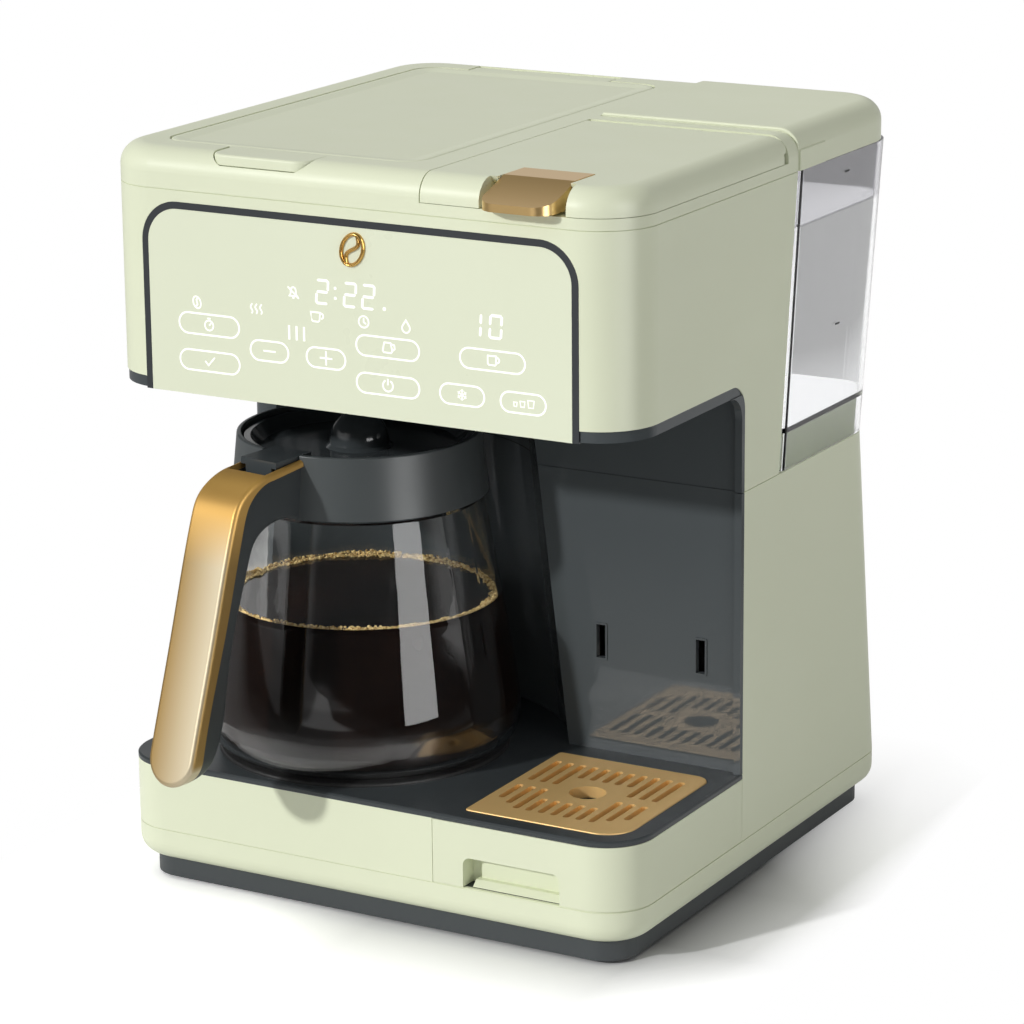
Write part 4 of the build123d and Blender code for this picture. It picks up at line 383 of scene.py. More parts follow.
@dataclass(frozen=True)
class Plastic(Finish):
    """Moulded plastic, rubber or paint with a fine texture."""

    name: str
    colour: Colour
    roughness: float = 0.42
    painted_glow: float = 0.0
    gloss_spread: float = 0.03
    variation: float = 0.015
    grain_scale: float = 2600.0
    grain_height: float = 0.02
    specular: float = 0.5
    coat: float = 0.0
    dust: float = 0.0
    scatter: float = 0.0

    def shader(self, wires: Wiring) -> Socket:
        """Build the nodes and give the surface's socket."""
        skin = EffectGroup.place(
            wires, "moulded_skin", Colour=self.colour, Variation=self.variation,
            Grain_Scale=self.grain_scale, Roughness=self.roughness,
            Gloss_Spread=self.gloss_spread)
        colour = skin["Colour"]
        if self.dust:
            dust = EffectGroup.place(wires, "settled_dust", Amount=self.dust)
            colour = wires.mix(dust["Mask"], colour, DUST)
        inputs = {"Base Color": colour, "Roughness": skin["Roughness"],
                  "Specular IOR Level": self.specular, "Coat Weight": self.coat,
                  "Coat Roughness": 0.1, "Normal": wires.raised(skin["Height"], self.grain_height)}
        # A painted glow: emission that brightens a part which is no lamp.
        if self.painted_glow:
            inputs |= {"Emission Color": self.colour, "Emission Strength": self.painted_glow}
        if self.scatter:
            inputs |= {"Subsurface Weight": self.scatter, "Subsurface Scale": 0.002}
        return wires.add("BsdfPrincipled", inputs).outputs[0]


@dataclass(frozen=True)
class Metal(Finish):
    """Metal with fine lines in one direction."""

    name: str
    colour: Colour
    roughness: float = 0.28
    gloss_spread: float = 0.04
    variation: float = 0.03
    stretch: Point3 = (1.0, 1.0, 1.0)
    line_scale: float = 900.0
    line_height: float = 0.012
    metallic: float = 1.0
    # Painted highlight colour for the middle of a cover, and a painted deeper gold for its bend,
    # both fixed in place.
    painted_highlight: Colour | None = None
    bend: Colour | None = None

    def shader(self, wires: Wiring) -> Socket:
        """Build the nodes and give the surface's socket."""
        lines = EffectGroup.place(
            wires, "brushed_lines", Colour=self.colour, Variation=self.variation,
            Stretch=self.stretch, Line_Scale=self.line_scale, Roughness=self.roughness,
            Gloss_Spread=self.gloss_spread)
        colour = lines["Colour"]
        # Paint the highlight and the light over the bend into the colour.
        if self.painted_highlight:
            painted_marks = EffectGroup.place(wires, "handle_painted_highlight")
            colour = wires.mix(painted_marks["Mask"], colour, self.painted_highlight)
            colour = wires.mix(painted_marks["Bend"], colour, self.bend)
        return wires.add("BsdfPrincipled", {
            "Base Color": colour, "Roughness": lines["Roughness"], "Metallic": self.metallic,
            "Normal": wires.raised(lines["Height"], self.line_height)}).outputs[0]


@dataclass(frozen=True)
class Clear(Finish):
    """Glass, clear plastic or water, through which lamps reach what is behind."""

    name: str
    colour: Colour
    ior: float = 1.5
    lamp_share: float = 0.85
    smear_height: float = 0.0
    painted_shade_above: Colour | None = None
    painted_shade_from: float = 0.0

    def shader(self, wires: Wiring) -> Socket:
        """Build the nodes and give the surface's socket."""
        where = wires.where()
        tint: object = self.colour
        # Above a set height the colour turns to a painted grey: painted shade for the empty part of
        # a tank.
        if self.painted_shade_above:
            above = wires.spread(wires.parts(where)[2], self.painted_shade_from - 0.0003, self.painted_shade_from)
            tint = wires.mix(above, self.colour, self.painted_shade_above)
        inputs = {"Base Color": tint, "IOR": self.ior, "Transmission Weight": 1.0,
                  "Roughness": wires.spread(wires.noise(where, 55.0), 0.45, 0.8, 0.0, 0.035)}
        if self.smear_height:
            smear = wires.noise(where, 30.0, 2.0)
            inputs["Normal"] = wires.raised(smear, self.smear_height, 0.4)
        body = wires.add("BsdfPrincipled", inputs)
        open_way = wires.add("BsdfTransparent", {"Color": self.colour})
        lamp_ray = wires.add("LightPath").outputs["Is Shadow Ray"]
        return wires.add("MixShader", {0: wires.times(lamp_ray, self.lamp_share),
                                       1: body.outputs[0], 2: open_way.outputs[0]}).outputs[0]


@dataclass(frozen=True)
class Brew(Finish):
    """Coffee or its bubbles: two tones that change over the surface."""

    name: str
    dark: Colour
    pale: Colour
    cloud: float
    detail: float
    top: float
    roughness: float
    ior: float = 1.5
    coat: float = 0.0

    def shader(self, wires: Wiring) -> Socket:
        """Build the nodes and give the surface's socket."""
        cloud = wires.noise(wires.where(), self.cloud, self.detail)
        tint = wires.mix(wires.spread(cloud, 0.35, self.top), self.dark, self.pale)
        return wires.add("BsdfPrincipled", {
            "Base Color": tint, "Roughness": self.roughness, "IOR": self.ior,
            "Coat Weight": self.coat}).outputs[0]


DUST = tone(214, 212, 206)
SATIN_SKIN = {"variation": 0.012, "grain_scale": 2400, "grain_height": 0.012}

SATIN_GREEN = Plastic("satin_green", tone(226, 231, 203), roughness=0.4, specular=0.35,
                      dust=0.02, **SATIN_SKIN)
PANEL_GREEN = Plastic("panel_green", tone(227, 232, 207), roughness=0.3, specular=0.35,
                      variation=0.008, grain_scale=3000, grain_height=0.004)
DRAWER_GREEN = Plastic("drawer_green", tone(224, 229, 201), roughness=0.42, specular=0.35,
                       **SATIN_SKIN)
# A darker, more olive copy of the housing green: painted shade for the pedestal seen through the
# tank.
PEDESTAL_GREEN_SHADED = Plastic("pedestal_green_painted_shade", tone(114, 126, 82), roughness=0.4, specular=0.3,
                         **SATIN_SKIN)
GLOSS_CHARCOAL = Plastic("gloss_charcoal", tone(76, 81, 83), roughness=0.05, gloss_spread=0.01,
                         specular=0.16, grain_scale=60, grain_height=0.003, variation=0.04)
SATIN_CHARCOAL = Plastic("satin_charcoal", tone(60, 65, 67), roughness=0.38, specular=0.35,
                         grain_scale=2200, grain_height=0.016, variation=0.04, dust=0.015)
COLLAR_CHARCOAL = Plastic("collar_charcoal", tone(74, 79, 80), roughness=0.36, specular=0.5,
                          grain_scale=2200, grain_height=0.01, variation=0.03)
LID_CHARCOAL = Plastic("lid_charcoal", tone(66, 71, 73), roughness=0.13, specular=0.5,
                       grain_scale=80, grain_height=0.006, variation=0.04)
TRIM_CHARCOAL = Plastic("trim_charcoal", tone(58, 61, 64), roughness=0.34, specular=0.4,
                        grain_scale=2600, grain_height=0.01)
PLINTH_GREY = Plastic("plinth_grey", tone(68, 72, 74), roughness=0.5, specular=0.3,
                      grain_scale=1700, grain_height=0.03, variation=0.04)
WORKS_BLACK = Plastic("works_black", tone(30, 31, 33), roughness=0.5, specular=0.3,
                      grain_scale=1500, grain_height=0.03)
WORKS_CREAM = Plastic("works_cream", tone(212, 208, 196), roughness=0.48, grain_scale=1500,
                      grain_height=0.02)
FOOT_RUBBER = Plastic("foot_rubber", tone(38, 38, 38), roughness=0.75, specular=0.2,
                      grain_scale=1200, grain_height=0.05, variation=0.06)
SEAL_RUBBER = Plastic("seal_rubber", tone(64, 64, 66), roughness=0.62, specular=0.25,
                      grain_scale=1400, grain_height=0.03)
VALVE_RUBBER = Plastic("valve_rubber", tone(22, 22, 24), roughness=0.4, specular=0.4,
                       grain_scale=1400, grain_height=0.02)
CLEAR_HOSE = Plastic("hose_silicone", tone(206, 206, 198), roughness=0.3, coat=0.3,
                     grain_scale=900, grain_height=0.02, scatter=0.3)
BOARD_GREEN = Plastic("board_green", tone(28, 86, 56), roughness=0.36, coat=0.4,
                      grain_scale=500, grain_height=0.03, variation=0.12)
# The last two colours are a painted highlight for the cover's middle and a painted deeper gold for
# its bend.
GOLD_HANDLE = Metal("gold_handle", tone(152, 122, 66), roughness=0.46, variation=0.012,
                    gloss_spread=0.01, stretch=(1.0, 1.0, 0.05), line_scale=500, line_height=0.002,
                    metallic=0.55, painted_highlight=tone(200, 187, 158), bend=tone(206, 163, 88))
GOLD_LATCH = Metal("gold_latch", tone(228, 192, 130), roughness=0.3, variation=0.015,
                   gloss_spread=0.015, stretch=(0.04, 1.0, 1.0), line_scale=900, line_height=0.003,
                   metallic=0.8)
GOLD_GRATE = Metal("gold_grate", tone(246, 205, 136), roughness=0.4, variation=0.02,
                   gloss_spread=0.02, stretch=(1.0, 0.06, 1.0), line_scale=900, line_height=0.004,
                   metallic=0.35)
GOLD_EMBLEM = Metal("gold_emblem", tone(208, 166, 92), roughness=0.24, variation=0.02,
                    gloss_spread=0.01, stretch=(1.0, 1.0, 0.2), line_scale=900, line_height=0.003,
                    metallic=0.85)
STEEL = Metal("brushed_steel", tone(196, 196, 192), roughness=0.26, stretch=(0.08, 1.0, 1.0))
BOILER_STEEL = Metal("boiler_steel", tone(178, 178, 176), roughness=0.34,
                     stretch=(1.0, 1.0, 0.05), variation=0.06)
PLATE_METAL = Metal("plate_metal", tone(44, 45, 47), roughness=0.42, metallic=0.4,
                    stretch=(0.6, 0.6, 1.0), line_scale=600)
CARAFE_GLASS = Clear("carafe_glass_clear", (0.985, 0.99, 0.985, 1), ior=1.5, lamp_share=0.92)
# The tank's shell is painted grey above the water line, a painted shade for its empty part.
TANK_CLEAR = Clear("tank_clear", (0.985, 0.988, 0.995, 1), ior=1.45, smear_height=0.02,
                   lamp_share=0.97, painted_shade_above=(0.62, 0.615, 0.64, 1), painted_shade_from=0.3235)
WATER = Clear("tank_water_clear", (0.995, 0.998, 1.0, 1), ior=1.04, lamp_share=0.98)
# The print has a painted glow that lifts its white.
PRINT_WHITE = Plastic("print_white", tone(252, 253, 250), roughness=0.45, painted_glow=0.22, specular=0.3,
                      variation=0.004, grain_scale=3000, grain_height=0.003)
TANK_MARK = Plastic("tank_mark", tone(22, 24, 26), roughness=0.5, specular=0.3,
                    variation=0.01, grain_scale=2600, grain_height=0.004)
COFFEE = Brew("coffee", tone(16, 9, 7), tone(30, 18, 13), cloud=22.0, detail=3.0, top=0.7,
              roughness=0.06, ior=1.34)
FOAM = Brew("coffee_foam", tone(148, 112, 52), tone(232, 208, 148), cloud=900.0, detail=2.0,
            top=0.65, roughness=0.12, coat=0.6)

NODE_FINISHES: dict[Finish, tuple[str, ...]] = {
    SATIN_GREEN: ("lower_band", "lower_housing", "upper_housing", "top_cover", "brew_lid",
                  "pod_lid", "tank_lid"),
    PEDESTAL_GREEN_SHADED: ("tank_pedestal",),
    DRAWER_GREEN: ("drawer_front",),
    PANEL_GREEN: ("control_panel",),
    GLOSS_CHARCOAL: ("lower_liner", "upper_liner"),
    SATIN_CHARCOAL: ("deck", "handle_core", "drip_tray", "tank_hinge", "chassis_plate"),
    COLLAR_CHARCOAL: ("carafe_collar",),
    LID_CHARCOAL: ("carafe_lid",),
    TRIM_CHARCOAL: ("panel_trim",),
    PLINTH_GREY: ("base_plinth",),
    WORKS_BLACK: ("brew_chamber", "brew_basket", "pod_holder", "pod_carrier",
                  "display_module", "cable_gland"),
    WORKS_CREAM: ("pump",),
    FOOT_RUBBER: ("foot_pads",),
    SEAL_RUBBER: ("tank_seal", "drip_stop"),
    VALVE_RUBBER: ("tank_valve",),
    CLEAR_HOSE: ("feed_hose", "hot_hose"),
    BOARD_GREEN: ("power_board", "touch_board"),
    GOLD_HANDLE: ("handle_cover",),
    GOLD_LATCH: ("pod_latch",),
    GOLD_GRATE: ("cup_grate",),
    STEEL: ("brew_hinge_pin", "pod_hinge_pin", "latch_pin", "upper_needle", "lower_needle",
            "shower_plate", "carafe_lid_pin", "warming_heater"),
    BOILER_STEEL: ("boiler",),
    PLATE_METAL: ("warming_plate",),
    CARAFE_GLASS: ("carafe_glass",),
    TANK_CLEAR: ("tank_shell",),
}


# Meshes


def link(name: str, data: bpy.types.ID) -> Thing:
    """Put a mesh, curve, lamp or camera into the scene as an object."""
    thing = bpy.data.objects.new(name, data)
    bpy.context.scene.collection.objects.link(thing)
    return thing


def new_piece(name: str, points: Iterable[Point3], faces: Iterable[Sequence[int]],
              smooth: bool = True) -> Thing:
    """Make a mesh object from points in millimetres.

    Args:
        name: the piece's name.
        points: its points in the row frame.
        faces: its faces as places in the points.
        smooth: whether the faces are shaded smooth.

    Returns:
        The new object.
    """
    mesh = bpy.data.meshes.new(name)
    mesh.from_pydata([tuple(value * MM for value in p) for p in points], [],
                     [tuple(f) for f in faces])
    mesh.validate()
    mesh.polygons.foreach_set("use_smooth", [smooth] * len(mesh.polygons))
    return link(name, mesh)


def bands(rings: int, count: int) -> list[Face]:
    """Give the faces between closed rings of points that lie in order.

    Args:
        rings: how many rings there are.
        count: how many points each has.

    Returns:
        One four-sided face for each step of each band.
    """
    return [(low + step, low + (step + 1) % count,
             low + count + (step + 1) % count, low + count + step)
            for low in range(0, (rings - 1) * count, count) for step in range(count)]


def soften(thing: Thing, angle: float = 35.0) -> None:
    """Shade smooth across flat edges and keep sharper ones.

    Args:
        thing: the object.
        angle: the sharpest edge, in degrees, that still looks smooth.
    """
    shape = bmesh.new()
    shape.from_mesh(thing.data)
    for edge in shape.edges:
        edge.smooth = len(edge.link_faces) == 2 and edge.calc_face_angle(0.0) < math.radians(angle)
    for face in shape.faces:
        face.smooth = True
    shape.to_mesh(thing.data)
    shape.free()


@dataclass
class Stroke:
    """A drawn line on a flat face, as points in X and Z."""

    points: list[Point2]
    width: float
    closed: bool = False

    def moved(self, across: float, up: float) -> "Stroke":
        """Give the same line in another place."""
        return Stroke([(across + x, up + z) for x, z in self.points], self.width, self.closed)

    def rims(self) -> tuple[list[Point2], list[Point2]]:
        """Give the line's left and right edges, mitred at its corners."""
        spots = [Vector(point) for point in self.points]
        ways = [(after - spot).normalized() for spot, after in zip(spots, spots[1:] + spots[:1])]
        left: list[Point2] = []
        right: list[Point2] = []
        for place, spot in enumerate(spots):
            met = [ways[place - 1], ways[place]]
            if not self.closed and place in (0, len(spots) - 1):
                met = [ways[min(place, len(spots) - 2)]]
            way = sum(met, Vector((0.0, 0.0))).normalized()
            side = Vector((-way.y, way.x)) * self.width / 2 / max(0.5, abs(way.dot(met[0])))
            left.append(tuple(spot + side))
            right.append(tuple(spot - side))
        return left, right


def arc(centre: Point2, radius: Point2, start: float, end: float, steps: int = 16) -> list[Point2]:
    """Give points along a round or oval arc.

    Args:
        centre: the arc's centre.
        radius: its half width and half height.
        start, end: angles in degrees, counter-clockwise from the right.
        steps: how many parts it is cut into.

    Returns:
        The points, both ends among them.
    """
    turns = [math.radians(start + (end - start) * step / steps) for step in range(steps + 1)]
    return [(centre[0] + radius[0] * math.cos(turn), centre[1] + radius[1] * math.sin(turn))
            for turn in turns]


class FlatPrint:
    """Strokes and dots that lie on a flat front face, gathered in one mesh."""

    def __init__(self, face_y: float, thickness: float, sunk: float = 0.04) -> None:
        """Start an empty print.

        Args:
            face_y: the face that it lies on.
            thickness: how far it stands in front of that face.
            sunk: how far it reaches into the face.
        """
        self.back = face_y + sunk
        self.front = face_y - thickness
        self.points: list[Point3] = []
        self.faces: list[Face] = []

    def plate(self, outline: Sequence[Point2]) -> None:
        """Add a flat plate with a convex outline, counter-clockwise from the front."""
        first = len(self.points)
        count = len(outline)
        self.points += [(x, self.front, z) for x, z in outline]
        self.points += [(x, self.back, z) for x, z in outline]
        self.faces.append(tuple(range(first, first + count)))
        self.faces.append(tuple(reversed(range(first + count, first + 2 * count))))
        for place in range(count):
            after = (place + 1) % count
            self.faces.append((first + place, first + count + place,
                               first + count + after, first + after))

    def line(self, stroke: Stroke) -> None:
        """Add a drawn line."""
        left, right = stroke.rims()
        first = len(self.points)
        count = len(left)
        for x, z in (*left, *right):
            self.points += [(x, self.front, z), (x, self.back, z)]
        other = first + 2 * count
        for place in range(count if stroke.closed else count - 1):
            here, after = 2 * place, 2 * ((place + 1) % count)
            self.faces.append((other + here, other + after, first + after, first + here))
            self.faces.append((first + here + 1, first + after + 1, other + after + 1,
                               other + here + 1))
            self.faces.append((first + here, first + after, first + after + 1, first + here + 1))
            self.faces.append((other + here + 1, other + after + 1, other + after, other + here))
        if not stroke.closed:
            last = 2 * (count - 1)
            self.faces.append((first, first + 1, other + 1, other))
            self.faces.append((other + last, other + last + 1, first + last + 1, first + last))

    def dot(self, centre: Point2, radius: float) -> None:
        """Add a round dot."""
        self.plate(arc(centre, (radius, radius), 0, 345, 23))

    def piece(self, name: str) -> Thing:
        """Make the print's object."""
        return new_piece(name, self.points, self.faces, smooth=False)


@dataclass
class TurnedForm:
    """A closed form turned about an upright axis."""

    name: str
    centre: Point2
    profile: list[Point2]
    steps: int = 128

    def build(self) -> Thing:
        """Make the form; its profile starts and ends on the axis."""
        x, y = self.centre
        rows = self.profile[1:-1]
        turns = [2 * math.pi * step / self.steps for step in range(self.steps)]
        points = [(x + radius * math.cos(turn), y + radius * math.sin(turn), z)
                  for radius, z in rows for turn in turns]
        points += [(x, y, self.profile[0][1]), (x, y, self.profile[-1][1])]
        faces = bands(len(rows), self.steps)
        top = (len(rows) - 1) * self.steps
        for step in range(self.steps):
            after = (step + 1) % self.steps
            faces += [(len(points) - 2, after, step), (len(points) - 1, top + step, top + after)]
        return new_piece(self.name, points, faces)


# The sub-assemblies


@dataclass
class CadFinishes:
    """Gives every CAD node its finish."""

    nodes: dict[str, Thing]

    def build(self) -> None:
        """Dress all nodes."""
        for finish, names in NODE_FINISHES.items():
            finish.dress(*(self.nodes[name] for name in names))
        plain = set(self.nodes) - {n for names in NODE_FINISHES.values() for n in names}
        if plain:
            log.warning("nodes without a finish: %s", sorted(plain))


@dataclass
class CoffeeFill:
    """The coffee in the carafe, with the ring of bubbles at its edge."""

    centre: Point2 = CARAFE_AXIS
    level: float = 141.0
    inner_wall: list[Point2] = field(default_factory=lambda: [
        (62.3, 68.65), (66.5, 69.6), (70.2, 72.0), (73.3, 75.3), (75.1, 79.15)])
    glass_outside: list[Point2] = field(default_factory=lambda: [
        (77.8, 79.3), (77.3, 90.5), (74.7, 109.3), (70.0, 138.5), (69.3, 142.3)])
    glass_wall: float = 2.5
    climb: float = 1.1
    bite: float = 0.15
    bubbles: int = 3800
    bubble_sizes: tuple[float, ...] = (0.3, 0.38, 0.45, 0.55, 0.7, 0.85)
    finer_above: float = 0.6
    seed: int = 7

    def build(self) -> None:
        """Make the coffee and its bubbles."""
        wall = self.inner_profile()
        rim = wall[-1][0]
        surface = [(rim - 0.5, self.level + self.climb * 0.35), (rim - 1.6, self.level + 0.1),
                   (rim - 4.0, self.level), (20.0, self.level)]
        profile = [(0.0, wall[0][1]), *wall, *surface, (0.0, self.level)]
        coffee = TurnedForm("coffee", self.centre, profile, 160).build()
        COFFEE.dress(coffee)
        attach(coffee, "carafe_body")
        foam = self.foam(rim)
        FOAM.dress(foam)
        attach(foam, "carafe_body")
        log.info("coffee: rim radius %.1f mm", rim)

    def inner_profile(self) -> list[Point2]:
        """Give the coffee's outer profile from the floor up to its edge."""
        wall = [(radius - self.glass_wall + self.bite, z) for radius, z in self.glass_outside]
        floor = [(radius + self.bite, z - self.bite) for radius, z in self.inner_wall]
        return floor + wall[1:-1] + [(wall[-1][0], self.level + self.climb)]

    def foam(self, rim: float) -> Thing:
        """Make the ring of bubbles along the glass.

        Args:
            rim: the coffee's radius at the glass.

        Returns:
            The bubbles as one object.
        """
        draw = random.Random(self.seed)
        balls = [self.ball(1), self.ball(2)]
        points: list[Point3] = []
        faces: list[Face] = []
        for _ in range(self.bubbles):
            turn = draw.uniform(0, 2 * math.pi)
            size = draw.choice(self.bubble_sizes) * draw.uniform(0.8, 1.1)
            crowd = 0.5 + 0.5 * math.sin(3 * turn + 1.2) * math.sin(7 * turn)
            if draw.random() < 0.5:
                inward, lift = size, draw.uniform(0.0, 1.5 + 1.1 * crowd)
            else:
                inward, lift = size + draw.uniform(0.2, 1.8 + 2.2 * crowd), draw.uniform(0.0, 0.5)
            radius = rim - 0.2 - inward - 0.16 * lift
            height = self.level + lift + 0.1
            x = self.centre[0] + radius * math.cos(turn)
            y = self.centre[1] + radius * math.sin(turn)
            corners, sides = balls[size > self.finer_above]
            first = len(points)
            points += [(x + cx * size, y + cy * size, height + cz * size) for cx, cy, cz in corners]
            faces += [tuple(first + corner for corner in side) for side in sides]
        return new_piece("coffee_foam", points, faces)

    def ball(self, fineness: int) -> tuple[list[Point3], list[Face]]:
        """Give the points and faces of one bubble of radius 1.

        Args:
            fineness: how finely it is divided.

        Returns:
            Its points and its faces.
        """
        shape = bmesh.new()
        bmesh.ops.create_icosphere(shape, subdivisions=fineness, radius=1.0)
        points = [tuple(vert.co) for vert in shape.verts]
        faces = [tuple(vert.index for vert in face.verts) for face in shape.faces]
        shape.free()
        return points, faces


@dataclass
class TankWater:
    """The water in the tank, a leaning block with round corners."""

    level: float = 323.5
    floor: float = 226.5
    gap: float = 0.06
    left: float = 38.5
    right: float = 140.0
    front_at_waist: float = 13.3
    rear_at_waist: float = 120.3
    waist: float = 205.7
    lean: float = 0.1232
    rear_lean: float = 0.1632
    small_corner: float = 3.5
    rear_corner: float = 22.5
    climb: float = 0.8
    rows: Point2 = (30.0, 62.0)
    edge_rings: tuple[Point2, ...] = ((0.985, 0.25), (0.95, 0.0))
    side_face: float = 142.5
    mark_places: tuple[Point3, ...] = ((81.2, 342.3, 5.2), (72.2, 267.6, 4.9), (26.4, 324.9, 3.0))
    mark_half: float = 0.45
    mark_sunk: float = 0.03
    mark_proud: float = 0.05

    def outline(self, z: float) -> list[Point2]:
        """Give the outline of the water at a height, counter-clockwise from above."""
        front = self.front_at_waist + self.lean * (z - self.waist) + self.gap
        rear = self.rear_at_waist + self.rear_lean * (z - self.waist) - self.gap
        left, right = self.left + self.gap, self.right - self.gap
        small, large = self.small_corner, self.rear_corner
        return [
            *arc((left + small, front + small), (small, small), 180, 270, 6),
            *arc((right - small, front + small), (small, small), 270, 360, 6),
            *arc((right - large, rear - large), (large, large), 0, 90, 20),
            *arc((left + small, rear - small), (small, small), 90, 180, 6),
        ]

    def marks(self) -> None:
        """Make the short level marks on the right face of the tank."""
        points: list[Point3] = []
        faces: list[Face] = []
        for y, z, length in self.mark_places:
            first = len(points)
            low, high = z - self.mark_half, z + self.mark_half
            ends = ((y, low), (y + length, low), (y + length, high), (y, high))
            for x in (self.side_face - self.mark_sunk, self.side_face + self.mark_proud):
                points += [(x, *end) for end in ends]
            sides = ((0, 3, 2, 1), (4, 5, 6, 7), (0, 1, 5, 4), (1, 2, 6, 5), (2, 3, 7, 6),
                     (3, 0, 4, 7))
            faces += [tuple(first + corner for corner in side) for side in sides]
        marks = new_piece("tank_marks", points, faces, smooth=False)
        TANK_MARK.dress(marks)
        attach(marks, "tank_body")

    def build(self) -> None:
        """Make the water, with its edge drawn up a little at the walls."""
        rows = [self.floor + self.gap, *(self.floor + rise for rise in self.rows),
                self.level + self.climb]
        points = [(x, y, z) for z in rows for x, y in self.outline(z)]
        top = self.outline(self.level)
        count = len(top)
        middle = sum((Vector(p) for p in top), Vector((0.0, 0.0))) / count
        for share, rise in self.edge_rings:
            points += [(*(middle + (Vector(p) - middle) * share), self.level + rise) for p in top]
        last = (len(rows) + 1) * count
        faces = [tuple(reversed(range(count))), *bands(len(rows) + 2, count),
                 tuple(range(last, last + count))]
        water = new_piece("tank_water", points, faces)
        soften(water)
        WATER.dress(water)
        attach(water, "tank_body")
        self.marks()
        log.info("water: %.0f mm deep", self.level - self.floor)


class Sign(Enum):
    """The plain signs printed on the panel."""

    BEAN = "bean"
    STEAM = "steam"
    CUP = "cup"
    CLOCK = "clock"
    DROP = "drop"
    TIMER = "timer"
    TICK = "tick"
    CARAFE = "carafe"
    MUG = "mug"
    FLAKE = "flake"
    SIZES = "sizes"
    POWER = "power"
    MINUS = "minus"
    PLUS = "plus"
    BELL = "bell"


def thin(*points: Point2, width: float = 0.74) -> Stroke:
    """Give an open line of a sign."""
    return Stroke(list(points), width)


def loop(*points: Point2, width: float = 0.74) -> Stroke:
    """Give a closed line of a sign."""
    return Stroke(list(points), width, closed=True)


def ring(radius: float, z: float = 0.0) -> Stroke:
    """Give a round line of a sign."""
    return loop(*arc((0, z), (radius, radius), 0, 345, 23))


def flake() -> list[Stroke]:
    """Give a snowflake: three bars with a fork near each end."""
    lines: list[Stroke] = []
    for turn in (90, 150, 210):
        way = Vector((math.cos(math.radians(turn)), math.sin(math.radians(turn))))
        lines.append(thin(way * 2.7, way * -2.7, width=0.5))
        for end in (1, -1):
            for fork in (55, -55):
                bend = math.radians(turn + fork)
                tip = way * 1.5 * end
                lines.append(thin(tip, tip + Vector((math.cos(bend), math.sin(bend))) * end,
                                  width=0.45))
    return lines


SIGN_LINES: dict[Sign, list[Stroke]] = {
    Sign.BEAN: [loop(*((px * 0.94 - pz * 0.34, px * 0.34 + pz * 0.94)
                       for px, pz in arc((0, 0), (2.1, 2.9), 0, 345, 23))),
                thin((0.9, 2.5), (-0.3, 1.2), (0.3, -1.0), (-0.9, -2.4))],
    Sign.STEAM: [thin(*((shift + 0.55 * math.sin(step * 0.9), -2.4 + step * 0.6)
                        for step in range(9))) for shift in (-2.6, 0.0, 2.6)],
    Sign.CUP: [loop((-2.9, 1.9), (-2.4, -1.7), *arc((-1.4, -1.5), (1.0, 1.0), 180, 270, 4),
                    *arc((0.9, -1.5), (1.0, 1.0), 270, 360, 4), (2.3, 1.9)),
               thin(*arc((2.5, 0.3), (1.5, 1.3), -80, 80, 8))],
    Sign.CLOCK: [ring(2.7), thin((0, 1.7), (0, -0.1), (1.3, -0.9))],
    Sign.DROP: [loop((0, 3.1), *arc((0, -0.7), (2.1, 2.1), 150, 390, 16))],
    Sign.TIMER: [ring(2.4, -0.3), thin((0, -0.3), (1.2, 0.9)), thin((-0.9, 3.1), (0.9, 3.1))],
    Sign.TICK: [thin((-2.6, 0.1), (-0.8, -1.9), (2.9, 2.2), width=0.75)],
    Sign.CARAFE: [loop((-1.7, 2.5), (-2.6, -1.4), (-1.9, -2.2), (1.9, -2.2), (2.6, -1.4),
                       (1.7, 2.5)),
                  thin((1.9, 2.1), (3.7, 1.6), (3.9, -0.2), (2.7, -0.9))],
    Sign.MUG: [loop((-2.4, 2.2), (-2.4, -1.5), (-1.8, -2.1), (1.4, -2.1), (2.0, -1.5), (2.0, 2.2)),
               thin(*arc((2.2, 0.3), (1.5, 1.3), -85, 85, 8))],
    Sign.FLAKE: flake(),
    Sign.SIZES: [loop((mid - half, tall - 1.6), (mid - half * 0.75, -1.8),
                      (mid + half * 0.75, -1.8), (mid + half, tall - 1.6), width=0.5)
                 for mid, tall, half in ((-4.0, 1.7, 0.884), (-0.3, 2.4, 1.248),
                                         (4.1, 3.2, 1.664))],
    Sign.POWER: [thin(*arc((0, -0.2), (2.7, 2.7), 118, 422, 24), width=0.8),
                 thin((0, 3.1), (0, 0.1), width=0.8)],
    Sign.MINUS: [thin((-3.4, 0), (3.4, 0), width=0.8)],
    Sign.PLUS: [thin((-3.4, 0), (3.4, 0), width=0.8), thin((0, 3.4), (0, -3.4), width=0.8)],
    Sign.BELL: [loop((-2.2, -1.6), (-1.5, -0.7), (-1.4, 1.0), *arc((0, 1.0), (1.4, 1.6), 180, 0, 8),
                     (1.5, -0.7), (2.2, -1.6)),
                thin((-3.0, 2.6), (3.0, -2.6))],
}


